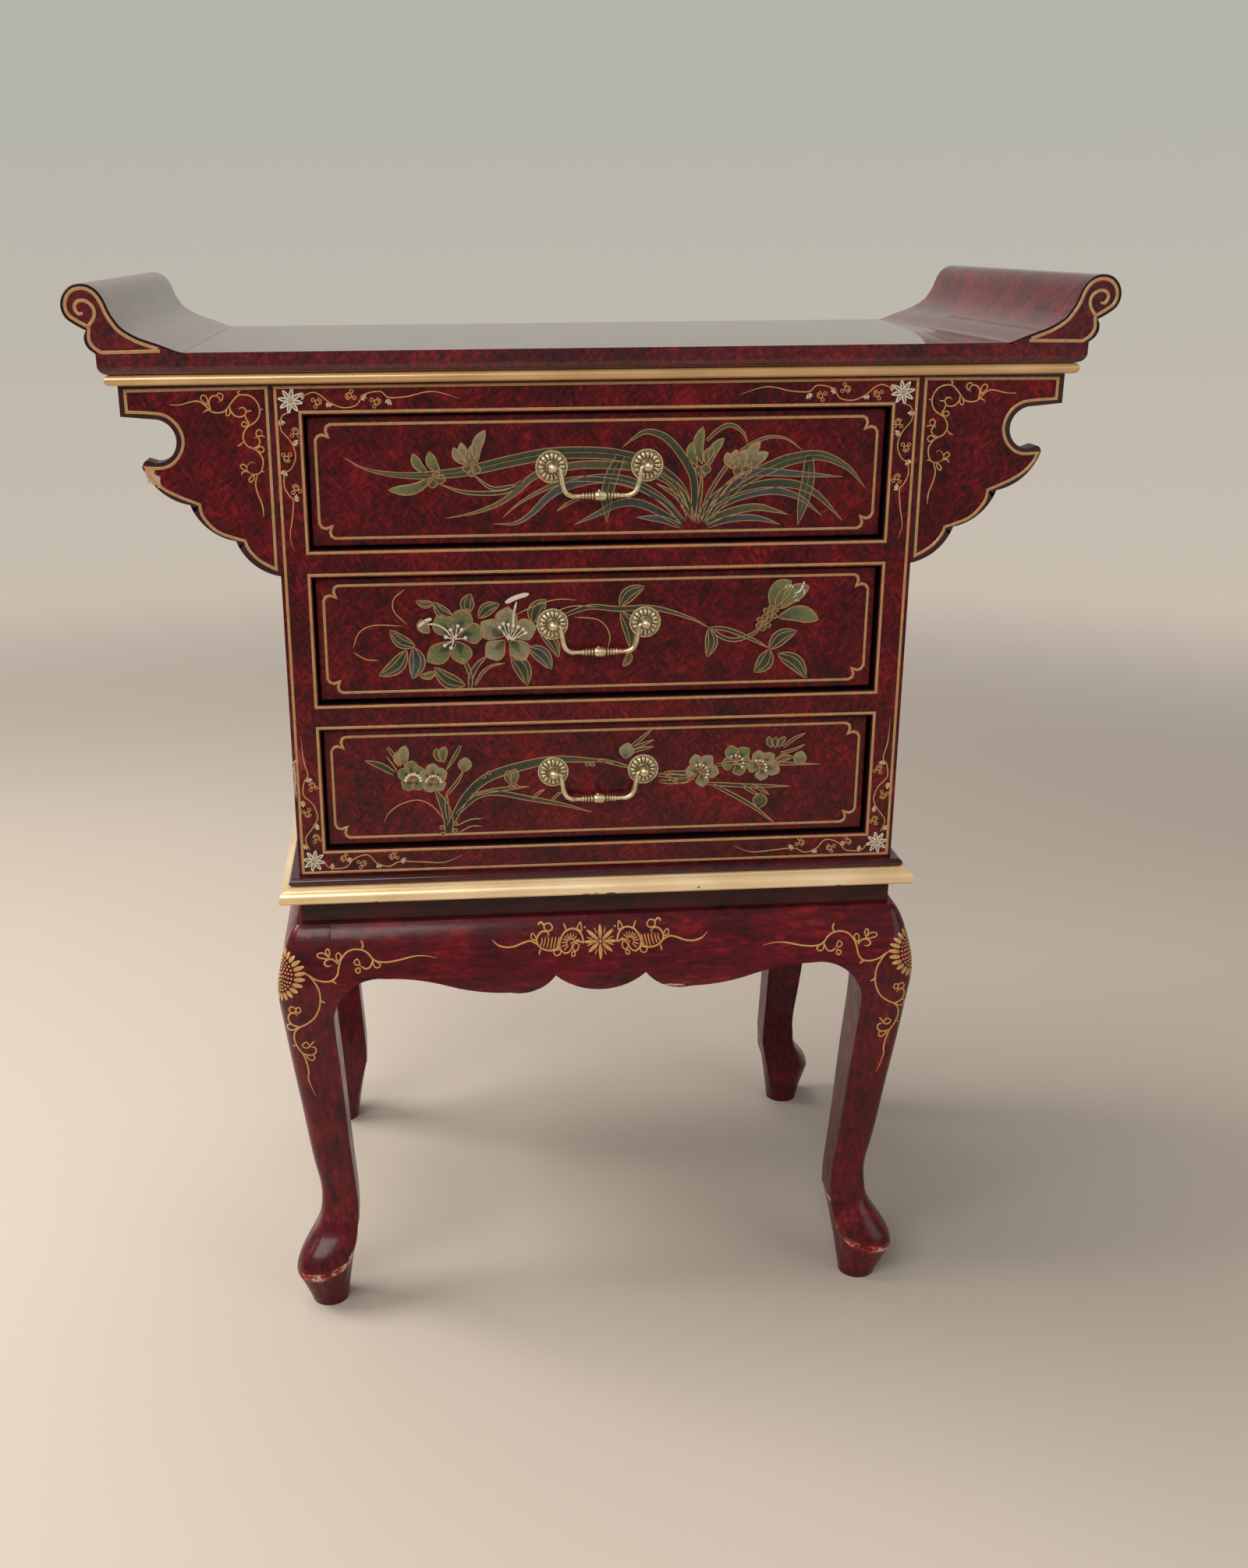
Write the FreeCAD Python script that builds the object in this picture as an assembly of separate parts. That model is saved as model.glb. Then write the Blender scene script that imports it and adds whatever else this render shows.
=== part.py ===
import FreeCAD, Part
import math
import os
from FreeCAD import Vector

# A lacquered altar cabinet: framed case with three drawers, scrolled top, wing brackets, cabriole stand.
# Millimetres. X to the right, Y to the back, Z up. The origin is on the floor under the middle of the case.

# Case
CASE_WIDTH = 508.0
CASE_DEPTH = 350.0
STILE_WIDTH = 24.0
FACE_FRAME_THICKNESS = 20.0
BOTTOM_RAIL_HEIGHT = 23.0
DIVIDER_HEIGHT = 22.0
TOP_RAIL_HEIGHT = 23.8
OPENING_HEIGHT = 104.2
SIDE_PANEL_THICKNESS = 16.0
BACK_PANEL_THICKNESS = 10.0
CASE_TOP_THICKNESS = 16.0

# Stand, from the floor up
STAND_HEIGHT = 379.0
WAIST_HEIGHT = 22.5
GOLD_BAND_HEIGHT = 13.5
GOLD_BAND_REACH = 17.3
GOLD_BAND_LIP = 3.8
GOLD_BAND_UNDERCUT = 3.0
GOLD_BAND_LEDGE = 10.0
GOLD_BAND_FILLET = 0.8
GOLD_LIP_BULGE = 0.95
GOLD_NOSE_BULGE = 2.0
RED_BEAD_HEIGHT = 6.5
RED_BEAD_REACH = 8.5
STRIP_DEPTH = 15.0

# Top
TOP_BEAD_HEIGHT = 8.2
TOP_BEAD_REACH = 8.5
TOP_BEAD_DEPTH = 12.0
TOP_BOARD_THICKNESS = 16.0
TOP_BOARD_REACH = 12.0
TOP_OVOLO = 7.5
TOP_SCREW_SIDE_INSET = 40.0
TOP_SCREW_END_INSET = 60.0

# Scroll ends
SCROLL_HEIGHT = 50.0
SCROLL_FOOT = 60.0
SCROLL_TOE = 1.0
SCROLL_HOUSING = 2.0
SCROLL_SWEEP = ((0.37, 0.17), (0.62, 0.33), (0.77, 0.5))
CURL_RADIUS = 15.3
CURL_REACH = 7.0
CURL_NECK_ANGLE = 8.0
CURL_NOTCH_SETBACK = 1.3
CURL_NOTCH_DROP = 3.1

# Wing brackets
WING_REACH = 114.0
WING_THICKNESS = 18.0
WING_END_HEIGHT = 23.0
WING_DROP = 148.0
NOTCH_RADIUS = 16.5
NOTCH_SETBACK = 24.2
NOTCH_LIP = 2.2
BEAK_SETBACK = 14.0
BEAK_DROP = 62.0
BEAK_NOSE_SETBACK = 3.2
BEAK_NOSE_HEIGHT = 6.0
BEAK_BULGE = 1.5
SCALLOP_COUNT = 3
SCALLOP_BULGE = 6.0
DOWEL_RADIUS = 3.0
DOWEL_LENGTH = 24.0
DOWEL_DROPS = (35.0, 110.0)

# Aprons: how far the bulging face stands out from the case, by drop below the stand's top
APRON_THICKNESS = 20.0
FACE_DROPS = (0.0, 8.0, 30.0, 54.0, 84.0)
FACE_REACHES = (5.0, 10.5, 18.7, 23.5, 21.7)
LOBE_DROP = 62.0
CUSP_DROP = 48.0
ARCH_DROP = 45.4
EAR_DROP = 79.0
EAR_RUN = 45.0
LOBE_BULGE = 6.0
SWAY_BULGE = 2.1
EAR_BULGE = 11.6
FRONT_LOBE_HALF = 39.0
SIDE_LOBE_HALF = 25.0
JOINT_SETBACK = 24.0

# Legs: reach is outwards from the case's faces, setback inwards. The foot's rim drops from heel to toe.
FOOT_BASE_REACH = 5.0
FOOT_BASE_SETBACK = 24.0
TOE_HEIGHT = 34.0
TOE_REACH = 24.0
HEEL_HEIGHT = 76.0
HEEL_SETBACK = 33.0
ANKLE_HEIGHT = 93.0
ANKLE_REACH = -1.0
ANKLE_SETBACK = 35.0
KNEE_ROUND = 18.0
KNEE_ROUND_SHARES = (0.3, 0.5, 0.85, 1.0)
ANKLE_ROUND = 10.0
ANKLE_SIDE_ROUND = 2.0
TOE_ROUND = 24.0
FOOT_BASE_ROUND = 13.0
SIDE_ROUND = 8.0
ARRIS_ROUND = 0.4
SHANK_CURVE = ((0.0, 0.0), (0.2, 0.21), (0.5, 0.55), (0.8, 0.9), (1.0, 1.0))
FOOT_CURVE = ((0.0, 0.0), (0.16, 0.03), (0.42, 0.27), (0.68, 0.68), (0.86, 0.93))

# Stand corner blocks and screws
BLOCK_SIDE = 60.0
BLOCK_EDGE = 11.5
BLOCK_SCREW_INSET = 19.3
SCREW_RADIUS = 2.0
SCREW_HEAD_RADIUS = 4.0
SCREW_HEAD_HEIGHT = 2.5
SCREW_BITE = 9.0
SCREW_CLEARANCE = 0.1
CUT_MARGIN = 1.0

# Drawers
DRAWER_GAP = 1.3
DRAWER_RECESS = 7.0
DRAWER_FRONT_THICKNESS = 18.0
DRAWER_FRONT_EDGE = 2.0
DRAWER_SIDE_THICKNESS = 10.0
DRAWER_SIDE_INSET = 0.3
DRAWER_SIDE_HEADROOM = 19.9
DRAWER_BOTTOM_THICKNESS = 5.0
DRAWER_BOTTOM_HEIGHT = 8.0
GROOVE_DEPTH = 4.0
GROOVE_CLEARANCE = 0.1
RUNNING_GAP = 0.3
RUNNER_HEIGHT = 11.0
RUNNER_TREAD = 12.0
GUIDE_HEIGHT = 14.0
STOP_HEIGHT = 12.0
STOP_LENGTH = 24.7

# Handles
POST_SPACING = 76.0
HANDLE_RISE = 9.0
PIVOT_STANDOFF = 9.5
BALL_RADIUS = 4.2
NECK_RADIUS = 2.4
COLLAR_RADIUS = 3.6
COLLAR_HEIGHT = 1.4
SHANK_RADIUS = 2.5
SHANK_CLEARANCE = 0.1
SHANK_PAST_NUT = 2.0
ROSETTE_RADIUS = 13.2
ROSETTE_RIM = 1.0
ROSETTE_HEIGHT = 3.0
ROSETTE_CROWN = 0.7
NUT_FLATS = 8.0
NUT_HEIGHT = 4.0
BAIL_WIRE_RADIUS = 1.5
BAIL_PIN_CLEARANCE = 0.05
BAIL_PIN_DEPTH = 3.6
BAIL_ARM_CLEARANCE = 0.3
BAIL_DROP = 22.0
BAIL_ELBOW = 2.0
BAIL_BEND = 8.0
BARREL_RADIUS = 3.6
BARREL_LENGTH = 9.6
RING_RADIUS = 2.5
RING_ROOT_RADIUS = 1.65
RING_WIDTH = 2.6
RING_PITCH = 3.2
RING_COUNT = 4

# Levels and planes worked out from the sizes above
CASE_HALF = CASE_WIDTH / 2
FRONT_Y = -CASE_DEPTH / 2
BACK_Y = CASE_DEPTH / 2
WAIST_TOP_Z = STAND_HEIGHT + WAIST_HEIGHT
GOLD_BAND_TOP_Z = WAIST_TOP_Z + GOLD_BAND_HEIGHT
CASE_Z = GOLD_BAND_TOP_Z + RED_BEAD_HEIGHT
OPENING_PITCH = OPENING_HEIGHT + DIVIDER_HEIGHT
OPENING_ZS = [CASE_Z + BOTTOM_RAIL_HEIGHT + OPENING_PITCH * i for i in range(3)]
CASE_TOP_Z = OPENING_ZS[2] + OPENING_HEIGHT + TOP_RAIL_HEIGHT
TOP_BOARD_Z = CASE_TOP_Z + TOP_BEAD_HEIGHT
TOP_Z = TOP_BOARD_Z + TOP_BOARD_THICKNESS
OPENING_HALF = CASE_HALF - STILE_WIDTH
PANEL_INNER = CASE_HALF - SIDE_PANEL_THICKNESS
FRAME_BACK_Y = FRONT_Y + FACE_FRAME_THICKNESS
BACK_PANEL_Y = BACK_Y - BACK_PANEL_THICKNESS
WING_END = CASE_HALF + WING_REACH
TOP_END = WING_END + TOP_BOARD_REACH
DRAWER_FACE_Y = FRONT_Y + DRAWER_RECESS
DRAWER_BOX_Y = DRAWER_FACE_Y + DRAWER_FRONT_THICKNESS
DRAWER_BACK_Y = BACK_PANEL_Y - STOP_LENGTH - RUNNING_GAP
DRAWER_HALF = OPENING_HALF - DRAWER_GAP
DRAWER_SIDE_X = DRAWER_HALF - DRAWER_SIDE_INSET
DRAWER_INNER_X = DRAWER_SIDE_X - DRAWER_SIDE_THICKNESS
DRAWER_SIDE_TOP = OPENING_HEIGHT - DRAWER_SIDE_HEADROOM
PIVOT_Y = DRAWER_FACE_Y - PIVOT_STANDOFF
PIVOT_RISE = OPENING_HEIGHT / 2 + HANDLE_RISE


def block(x0, x1, y0, y1, z0, z1):
    """Box between two opposite corners."""
    return Part.makeBox(x1 - x0, y1 - y0, z1 - z0, Vector(x0, y0, z0))


def in_front(a, b):
    """Point of the upright plane that faces the front."""
    return Vector(a, 0, b)


def in_side(a, b):
    """Point of the upright plane that faces sideways, with its first number towards the front."""
    return Vector(0, -a, b)


def outline(place, start, *steps):
    """Closed wire. A step of one point is straight, of two an arc through the first, of more a curve."""
    edges = []
    here = start
    for step in list(steps) + [(start,)]:
        points = [place(*point) for point in (here, *step)]
        if points[0].isEqual(points[-1], 1e-7):
            continue
        if len(step) == 1:
            curve = Part.LineSegment(points[0], points[1])
        elif len(step) == 2:
            curve = Part.Arc(points[0], points[1], points[2])
        else:
            curve = Part.BSplineCurve()
            curve.interpolate(points)
        edges.append(curve.toShape())
        here = step[-1]
    return Part.Wire(edges)


def bulged(start, end, bulge):
    """Arc step to the end point, standing out to the left of the straight way there."""
    across = end[0] - start[0]
    along = end[1] - start[1]
    share = bulge / math.hypot(across, along)
    middle = ((start[0] + end[0]) / 2 - along * share, (start[1] + end[1]) / 2 + across * share)
    return (middle, end)


def plank(wire, x=0.0, y=0.0, z=0.0):
    """Solid from a closed wire pushed along one direction."""
    return Part.Face(wire).extrude(Vector(x, y, z))


def moved(shape, x=0.0, y=0.0, z=0.0):
    copy = shape.copy()
    copy.translate(Vector(x, y, z))
    return copy


def mirrored(shape):
    """The same piece on the other side of the cabinet."""
    return shape.mirror(Vector(0, 0, 0), Vector(1, 0, 0))


def turned(shape, quarter_turns):
    copy = shape.copy()
    copy.rotate(Vector(0, 0, 0), Vector(0, 0, 1), 90 * quarter_turns)
    return copy


def rod(x, y, z, radius, length, direction):
    return Part.makeCylinder(radius, length, Vector(x, y, z), direction)


def mitred_strips(half_width, half_depth, inner_depth, wire_of_profile, reach):
    """Four strips round a rectangle, mitred at the corners. The profile's first number is the reach out."""
    strips = []
    for turn, half_length, half_across in (
        (0, half_width, half_depth),
        (1, half_depth, half_width),
        (2, half_width, half_depth),
        (3, half_depth, half_width),
    ):
        over = half_length + reach
        strip = moved(plank(wire_of_profile, x=2 * over), x=-over, y=-half_across)
        bottom = strip.BoundBox.ZMin
        height = strip.BoundBox.ZLength
        inner_y = inner_depth - half_across
        mitre = Part.makePolygon([
            Vector(-half_length + inner_depth, inner_y, bottom),
            Vector(half_length - inner_depth, inner_y, bottom),
            Vector(over, -half_across - reach, bottom),
            Vector(-over, -half_across - reach, bottom),
            Vector(-half_length + inner_depth, inner_y, bottom),
        ])
        strips.append(turned(strip.common(plank(mitre, z=height)), turn))
    return Part.makeCompound([solid for strip in strips for solid in strip.Solids])


def half_round(inner_depth, reach, bottom, height):
    """Profile of a strip with a half-round nose."""
    radius = height / 2
    return outline(
        in_side,
        (-inner_depth, bottom),
        ((reach - radius, bottom),),
        ((reach, bottom + radius), (reach - radius, bottom + height)),
        ((-inner_depth, bottom + height),),
    )


def screw(x, y, z, length):
    """Upright screw with its head below the given height."""
    shank = rod(x, y, z, SCREW_RADIUS, length, Vector(0, 0, 1))
    foot = Vector(x, y, z)
    head = Part.makeCone(SCREW_RADIUS, SCREW_HEAD_RADIUS, SCREW_HEAD_HEIGHT, foot, Vector(0, 0, -1))
    return shank.fuse(head).removeSplitter()


def screw_hole(x, y, z, length):
    return rod(x, y, z, SCREW_RADIUS + SCREW_CLEARANCE, length, Vector(0, 0, 1))


def bored(shape, holes):
    for hole in holes:
        shape = shape.cut(hole)
    return shape


def top_screw_places():
    """Foot of each screw that holds the top, and the screws' length."""
    x = PANEL_INNER - TOP_SCREW_SIDE_INSET
    y = CASE_DEPTH / 2 - TOP_SCREW_END_INSET
    bottom = CASE_TOP_Z - CASE_TOP_THICKNESS
    length = CASE_TOP_THICKNESS + TOP_BEAD_HEIGHT + SCREW_BITE
    return [(place_x, place_y, bottom, length) for place_x in (-x, 0.0, x) for place_y in (-y, y)]


def corner_screw_places():
    """Foot of each screw that holds the case on the stand, and the screws' length."""
    x = CASE_HALF - STRIP_DEPTH - BLOCK_SCREW_INSET
    y = CASE_DEPTH / 2 - STRIP_DEPTH - BLOCK_SCREW_INSET
    length = CASE_Z - STAND_HEIGHT + SCREW_BITE
    return [(place_x, place_y, STAND_HEIGHT, length) for place_x in (-x, x) for place_y in (-y, y)]


def dowel(side, drop, radius):
    """Rod across the joint between a stile and its wing bracket."""
    start = (CASE_HALF - DOWEL_LENGTH / 2, FRONT_Y + WING_THICKNESS / 2, CASE_TOP_Z - drop)
    piece = rod(*start, radius, DOWEL_LENGTH, Vector(1, 0, 0))
    return piece if side > 0 else mirrored(piece)


def dowel_holes(side):
    return [dowel(side, drop, DOWEL_RADIUS + SCREW_CLEARANCE / 2) for drop in DOWEL_DROPS]


def top_board():
    """Board with an ovolo under its edge on all four sides and a shallow housing for each scroll end."""
    def edged(place, half):
        low = half - TOP_OVOLO
        slant = TOP_OVOLO * math.sqrt(0.5)
        shoulder = TOP_BOARD_Z + TOP_OVOLO
        return outline(
            place,
            (-low, TOP_BOARD_Z),
            ((low, TOP_BOARD_Z),),
            ((low + slant, shoulder - slant), (half, shoulder)),
            ((half, TOP_Z),),
            ((-half, TOP_Z),),
            ((-half, shoulder),),
            ((-low - slant, shoulder - slant), (-low, TOP_BOARD_Z)),
        )

    half_depth = CASE_DEPTH / 2 + TOP_BOARD_REACH
    along = moved(plank(edged(in_front, TOP_END), y=2 * half_depth), y=-half_depth)
    across = moved(plank(edged(in_side, half_depth), x=2 * TOP_END), x=-TOP_END)
    housing = block(TOP_END - SCROLL_FOOT, TOP_END, -half_depth, half_depth, TOP_Z - SCROLL_HOUSING, TOP_Z)
    holes = [screw_hole(*place) for place in top_screw_places()]
    return bored(along.common(across), holes + [housing, mirrored(housing)])


def scroll_end():
    """Right-hand end block: a curl at the top, a hollow sweep inwards and a small bulge below the curl."""
    curl_x = TOP_END + CURL_REACH
    curl_z = TOP_Z + SCROLL_HEIGHT - CURL_RADIUS
    neck_x = curl_x - CURL_RADIUS * math.cos(math.radians(CURL_NECK_ANGLE))
    neck_z = curl_z - CURL_RADIUS * math.sin(math.radians(CURL_NECK_ANGLE))
    slant = CURL_RADIUS * math.sqrt(0.5)
    notch_x = curl_x - CURL_NOTCH_SETBACK
    notch_z = curl_z - CURL_RADIUS - CURL_NOTCH_DROP
    foot_x = TOP_END - SCROLL_FOOT
    sweep = [(foot_x + out * SCROLL_FOOT, TOP_Z + up * SCROLL_HEIGHT) for out, up in SCROLL_SWEEP]
    wire = outline(
        in_front,
        (foot_x, TOP_Z - SCROLL_HOUSING),
        ((foot_x, TOP_Z + SCROLL_TOE),),
        (*sweep, (neck_x, neck_z)),
        ((curl_x - slant, curl_z + slant), (curl_x, curl_z + CURL_RADIUS)),
        ((curl_x + CURL_RADIUS, curl_z), (curl_x + slant, curl_z - slant)),
        ((notch_x, notch_z),),
        ((curl_x, (TOP_Z + notch_z) / 2), (TOP_END, TOP_Z)),
        ((TOP_END, TOP_Z - SCROLL_HOUSING),),
    )
    half_depth = CASE_DEPTH / 2 + TOP_BOARD_REACH
    return moved(plank(wire, y=2 * half_depth), y=-half_depth)


def sub_top_board():
    """Thin board inside the gold bead, between the case and the top board."""
    x = WING_END - TOP_BEAD_DEPTH
    y = CASE_DEPTH / 2 - TOP_BEAD_DEPTH
    board = block(-x, x, -y, y, CASE_TOP_Z, TOP_BOARD_Z)
    return bored(board, [screw_hole(*place) for place in top_screw_places()])


def top_gold_bead():
    profile = half_round(TOP_BEAD_DEPTH, TOP_BEAD_REACH, CASE_TOP_Z, TOP_BEAD_HEIGHT)
    return mitred_strips(WING_END, CASE_DEPTH / 2, TOP_BEAD_DEPTH, profile, TOP_BEAD_REACH)


def wing_bracket():
    """Right-hand bracket: straight top, round notch, beak and a run of scallops down to the case."""
    def at(out, drop):
        return (CASE_HALF + out, CASE_TOP_Z - drop)

    notch_out = WING_REACH - NOTCH_SETBACK
    notch_drop = WING_END_HEIGHT + NOTCH_LIP + NOTCH_RADIUS
    beak_out = WING_REACH - BEAK_SETBACK
    beak_nose = at(beak_out - BEAK_NOSE_SETBACK, BEAK_DROP - BEAK_NOSE_HEIGHT)
    beak_tip = at(beak_out, BEAK_DROP)
    cusps = [
        at(between(beak_out, 0.0, i / SCALLOP_COUNT), between(BEAK_DROP, WING_DROP, i / SCALLOP_COUNT))
        for i in range(SCALLOP_COUNT + 1)
    ]
    wire = outline(
        in_front,
        at(0, 0),
        (at(WING_REACH, 0),),
        (at(WING_REACH, WING_END_HEIGHT),),
        (at(notch_out, notch_drop - NOTCH_RADIUS),),
        (at(notch_out - NOTCH_RADIUS, notch_drop), at(notch_out, notch_drop + NOTCH_RADIUS)),
        (beak_nose,),
        bulged(beak_nose, beak_tip, BEAK_BULGE),
        *[bulged(first, last, SCALLOP_BULGE) for first, last in zip(cusps, cusps[1:])],
    )
    return bored(moved(plank(wire, y=WING_THICKNESS), y=FRONT_Y), dowel_holes(1))


def side_panel():
    """Right-hand wall of the case, behind the stile."""
    return block(PANEL_INNER, CASE_HALF, FRAME_BACK_Y, BACK_Y, CASE_Z, CASE_TOP_Z)


def back_panel():
    return block(-PANEL_INNER, PANEL_INNER, BACK_PANEL_Y, BACK_Y, CASE_Z, CASE_TOP_Z)


def case_top_panel():
    bottom = CASE_TOP_Z - CASE_TOP_THICKNESS
    panel = block(-PANEL_INNER, PANEL_INNER, FRAME_BACK_Y, BACK_PANEL_Y, bottom, CASE_TOP_Z)
    return bored(panel, [screw_hole(*place) for place in top_screw_places()])


def case_bottom_panel():
    """Floor of the case. Its upper face carries the lowest runners."""
    top = OPENING_ZS[0] - RUNNER_HEIGHT
    panel = block(-PANEL_INNER, PANEL_INNER, FRAME_BACK_Y, BACK_PANEL_Y, CASE_Z, top)
    return bored(panel, [screw_hole(*place) for place in corner_screw_places()])


def stile():
    """Right-hand upright of the face frame."""
    post = block(OPENING_HALF, CASE_HALF, FRONT_Y, FRAME_BACK_Y, CASE_Z, CASE_TOP_Z)
    return bored(post, dowel_holes(1))


def rail(bottom, height):
    return block(-OPENING_HALF, OPENING_HALF, FRONT_Y, FRAME_BACK_Y, bottom, bottom + height)


def drawer_runners():
    """L-shaped runners on the side panels: a tread below the drawer, a guide in line with the opening."""
    tread_x = DRAWER_SIDE_X - RUNNER_TREAD
    solids = []
    for opening_z in OPENING_ZS:
        low = opening_z - RUNNER_HEIGHT
        wire = outline(
            in_front,
            (tread_x, low),
            ((PANEL_INNER, low),),
            ((PANEL_INNER, opening_z + GUIDE_HEIGHT),),
            ((OPENING_HALF, opening_z + GUIDE_HEIGHT),),
            ((OPENING_HALF, opening_z),),
            ((tread_x, opening_z),),
        )
        runner = moved(plank(wire, y=BACK_PANEL_Y - FRAME_BACK_Y), y=FRAME_BACK_Y)
        solids += [runner, mirrored(runner)]
    return Part.makeCompound(solids)


def drawer_stops():
    """Blocks on the runners that the closed drawers come to rest against."""
    start_y = BACK_PANEL_Y - STOP_LENGTH
    solids = []
    for opening_z in OPENING_ZS:
        top = opening_z + STOP_HEIGHT
        stop = block(DRAWER_INNER_X, DRAWER_SIDE_X, start_y, BACK_PANEL_Y, opening_z, top)
        solids += [stop, mirrored(stop)]
    return Part.makeCompound(solids)


def base_red_bead():
    profile = half_round(STRIP_DEPTH, RED_BEAD_REACH, GOLD_BAND_TOP_Z, RED_BEAD_HEIGHT)
    return mitred_strips(CASE_HALF, CASE_DEPTH / 2, STRIP_DEPTH, profile, RED_BEAD_REACH)


def base_gold_band():
    """Bold ovolo band: nearly upright at its low lip, then rounding back to a small ledge."""
    under = (GOLD_BAND_REACH - GOLD_BAND_UNDERCUT, WAIST_TOP_Z)
    lip = (GOLD_BAND_REACH, WAIST_TOP_Z + GOLD_BAND_LIP)
    ledge = (GOLD_BAND_LEDGE, GOLD_BAND_TOP_Z - GOLD_BAND_FILLET)
    profile = outline(
        in_side,
        (-STRIP_DEPTH, WAIST_TOP_Z),
        (under,),
        bulged(under, lip, -GOLD_LIP_BULGE),
        bulged(lip, ledge, -GOLD_NOSE_BULGE),
        ((GOLD_BAND_LEDGE, GOLD_BAND_TOP_Z),),
        ((-STRIP_DEPTH, GOLD_BAND_TOP_Z),),
    )
    return mitred_strips(CASE_HALF, CASE_DEPTH / 2, STRIP_DEPTH, profile, GOLD_BAND_REACH)


def waist_strips():
    profile = outline(
        in_side,
        (-STRIP_DEPTH, STAND_HEIGHT),
        ((0, STAND_HEIGHT),),
        ((0, WAIST_TOP_Z),),
        ((-STRIP_DEPTH, WAIST_TOP_Z),),
    )
    return mitred_strips(CASE_HALF, CASE_DEPTH / 2, STRIP_DEPTH, profile, 0.0)


def apron(half_side, half_across, lobe_half, quarter_turns):
    """Bulging board between two legs, scalloped below: a middle lobe, two flanking lobes and two arches."""
    half = half_side - JOINT_SETBACK
    face = [(reach, STAND_HEIGHT - drop) for drop, reach in zip(FACE_DROPS, FACE_REACHES)]
    inside = [(reach - APRON_THICKNESS, z) for reach, z in reversed(face)]
    section = outline(in_side, face[0], tuple(face[1:]), (inside[0],), tuple(inside[1:]))
    board = moved(plank(section, x=2 * half), x=-half, y=-half_across)

    # The lower edge from the middle cusp out to the leg, and the bulge of the arc between each two points.
    lobe_z = STAND_HEIGHT - LOBE_DROP
    cusp_z = STAND_HEIGHT - CUSP_DROP
    arch_z = STAND_HEIGHT - ARCH_DROP
    ear_z = STAND_HEIGHT - EAR_DROP
    flank_x = lobe_half * 2
    arch_x = half - EAR_RUN
    points = [
        (lobe_half, cusp_z),
        (flank_x, lobe_z),
        ((flank_x + arch_x) / 2, (lobe_z + arch_z) / 2),
        (arch_x, arch_z),
        (half, ear_z),
    ]
    bulges = [-LOBE_BULGE, -SWAY_BULGE, SWAY_BULGE, EAR_BULGE]
    opposite = [(-x, z) for x, z in points]
    right = [bulged(*step) for step in zip(points, points[1:], bulges)]
    left = [bulged(*step) for step in zip(opposite[:0:-1], opposite[-2::-1], reversed(bulges))]
    edge = outline(
        in_front,
        (half, STAND_HEIGHT),
        ((-half, STAND_HEIGHT),),
        (opposite[-1],),
        *left,
        ((0, lobe_z), points[0]),
        *right,
    )
    depth = APRON_THICKNESS + max(FACE_REACHES)
    pattern = moved(plank(edge, y=2 * depth), y=-half_across - depth)
    return turned(board.common(pattern), quarter_turns)


def rounded_square(height, rise, reach, setback, outer_round, side_round):
    """Leg section. It is level, or rises from its outward corner to its inward one."""
    x0 = CASE_HALF - setback
    x1 = CASE_HALF + reach
    y0 = FRONT_Y - reach
    y1 = FRONT_Y + setback
    across = 2 * (reach + setback)

    def lifted(point):
        inwards = (x1 - point.x) + (point.y - y0)
        return Vector(point.x, point.y, height + rise * inwards / across)

    corners = [(x0, y0, side_round), (x1, y0, outer_round), (x1, y1, side_round), (x0, y1, ARRIS_ROUND)]
    arcs = []
    for i, (x, y, radius) in enumerate(corners):
        before = Vector(corners[i - 1][0] - x, corners[i - 1][1] - y, 0).normalize()
        after = Vector(corners[(i + 1) % 4][0] - x, corners[(i + 1) % 4][1] - y, 0).normalize()
        corner = Vector(x, y, 0)
        middle = corner + (before + after) * radius * (1 - math.sqrt(0.5))
        points = [corner + before * radius, middle, corner + after * radius]
        arcs.append([lifted(point) for point in points])
    edges = []
    for arc, following in zip(arcs, arcs[1:] + arcs[:1]):
        curve = Part.BSplineCurve()
        curve.interpolate(arc)
        edges.append(curve.toShape())
        edges.append(Part.LineSegment(arc[2], following[0]).toShape())
    return Part.Wire(edges)


def between(first, last, share):
    return first + (last - first) * share


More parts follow.
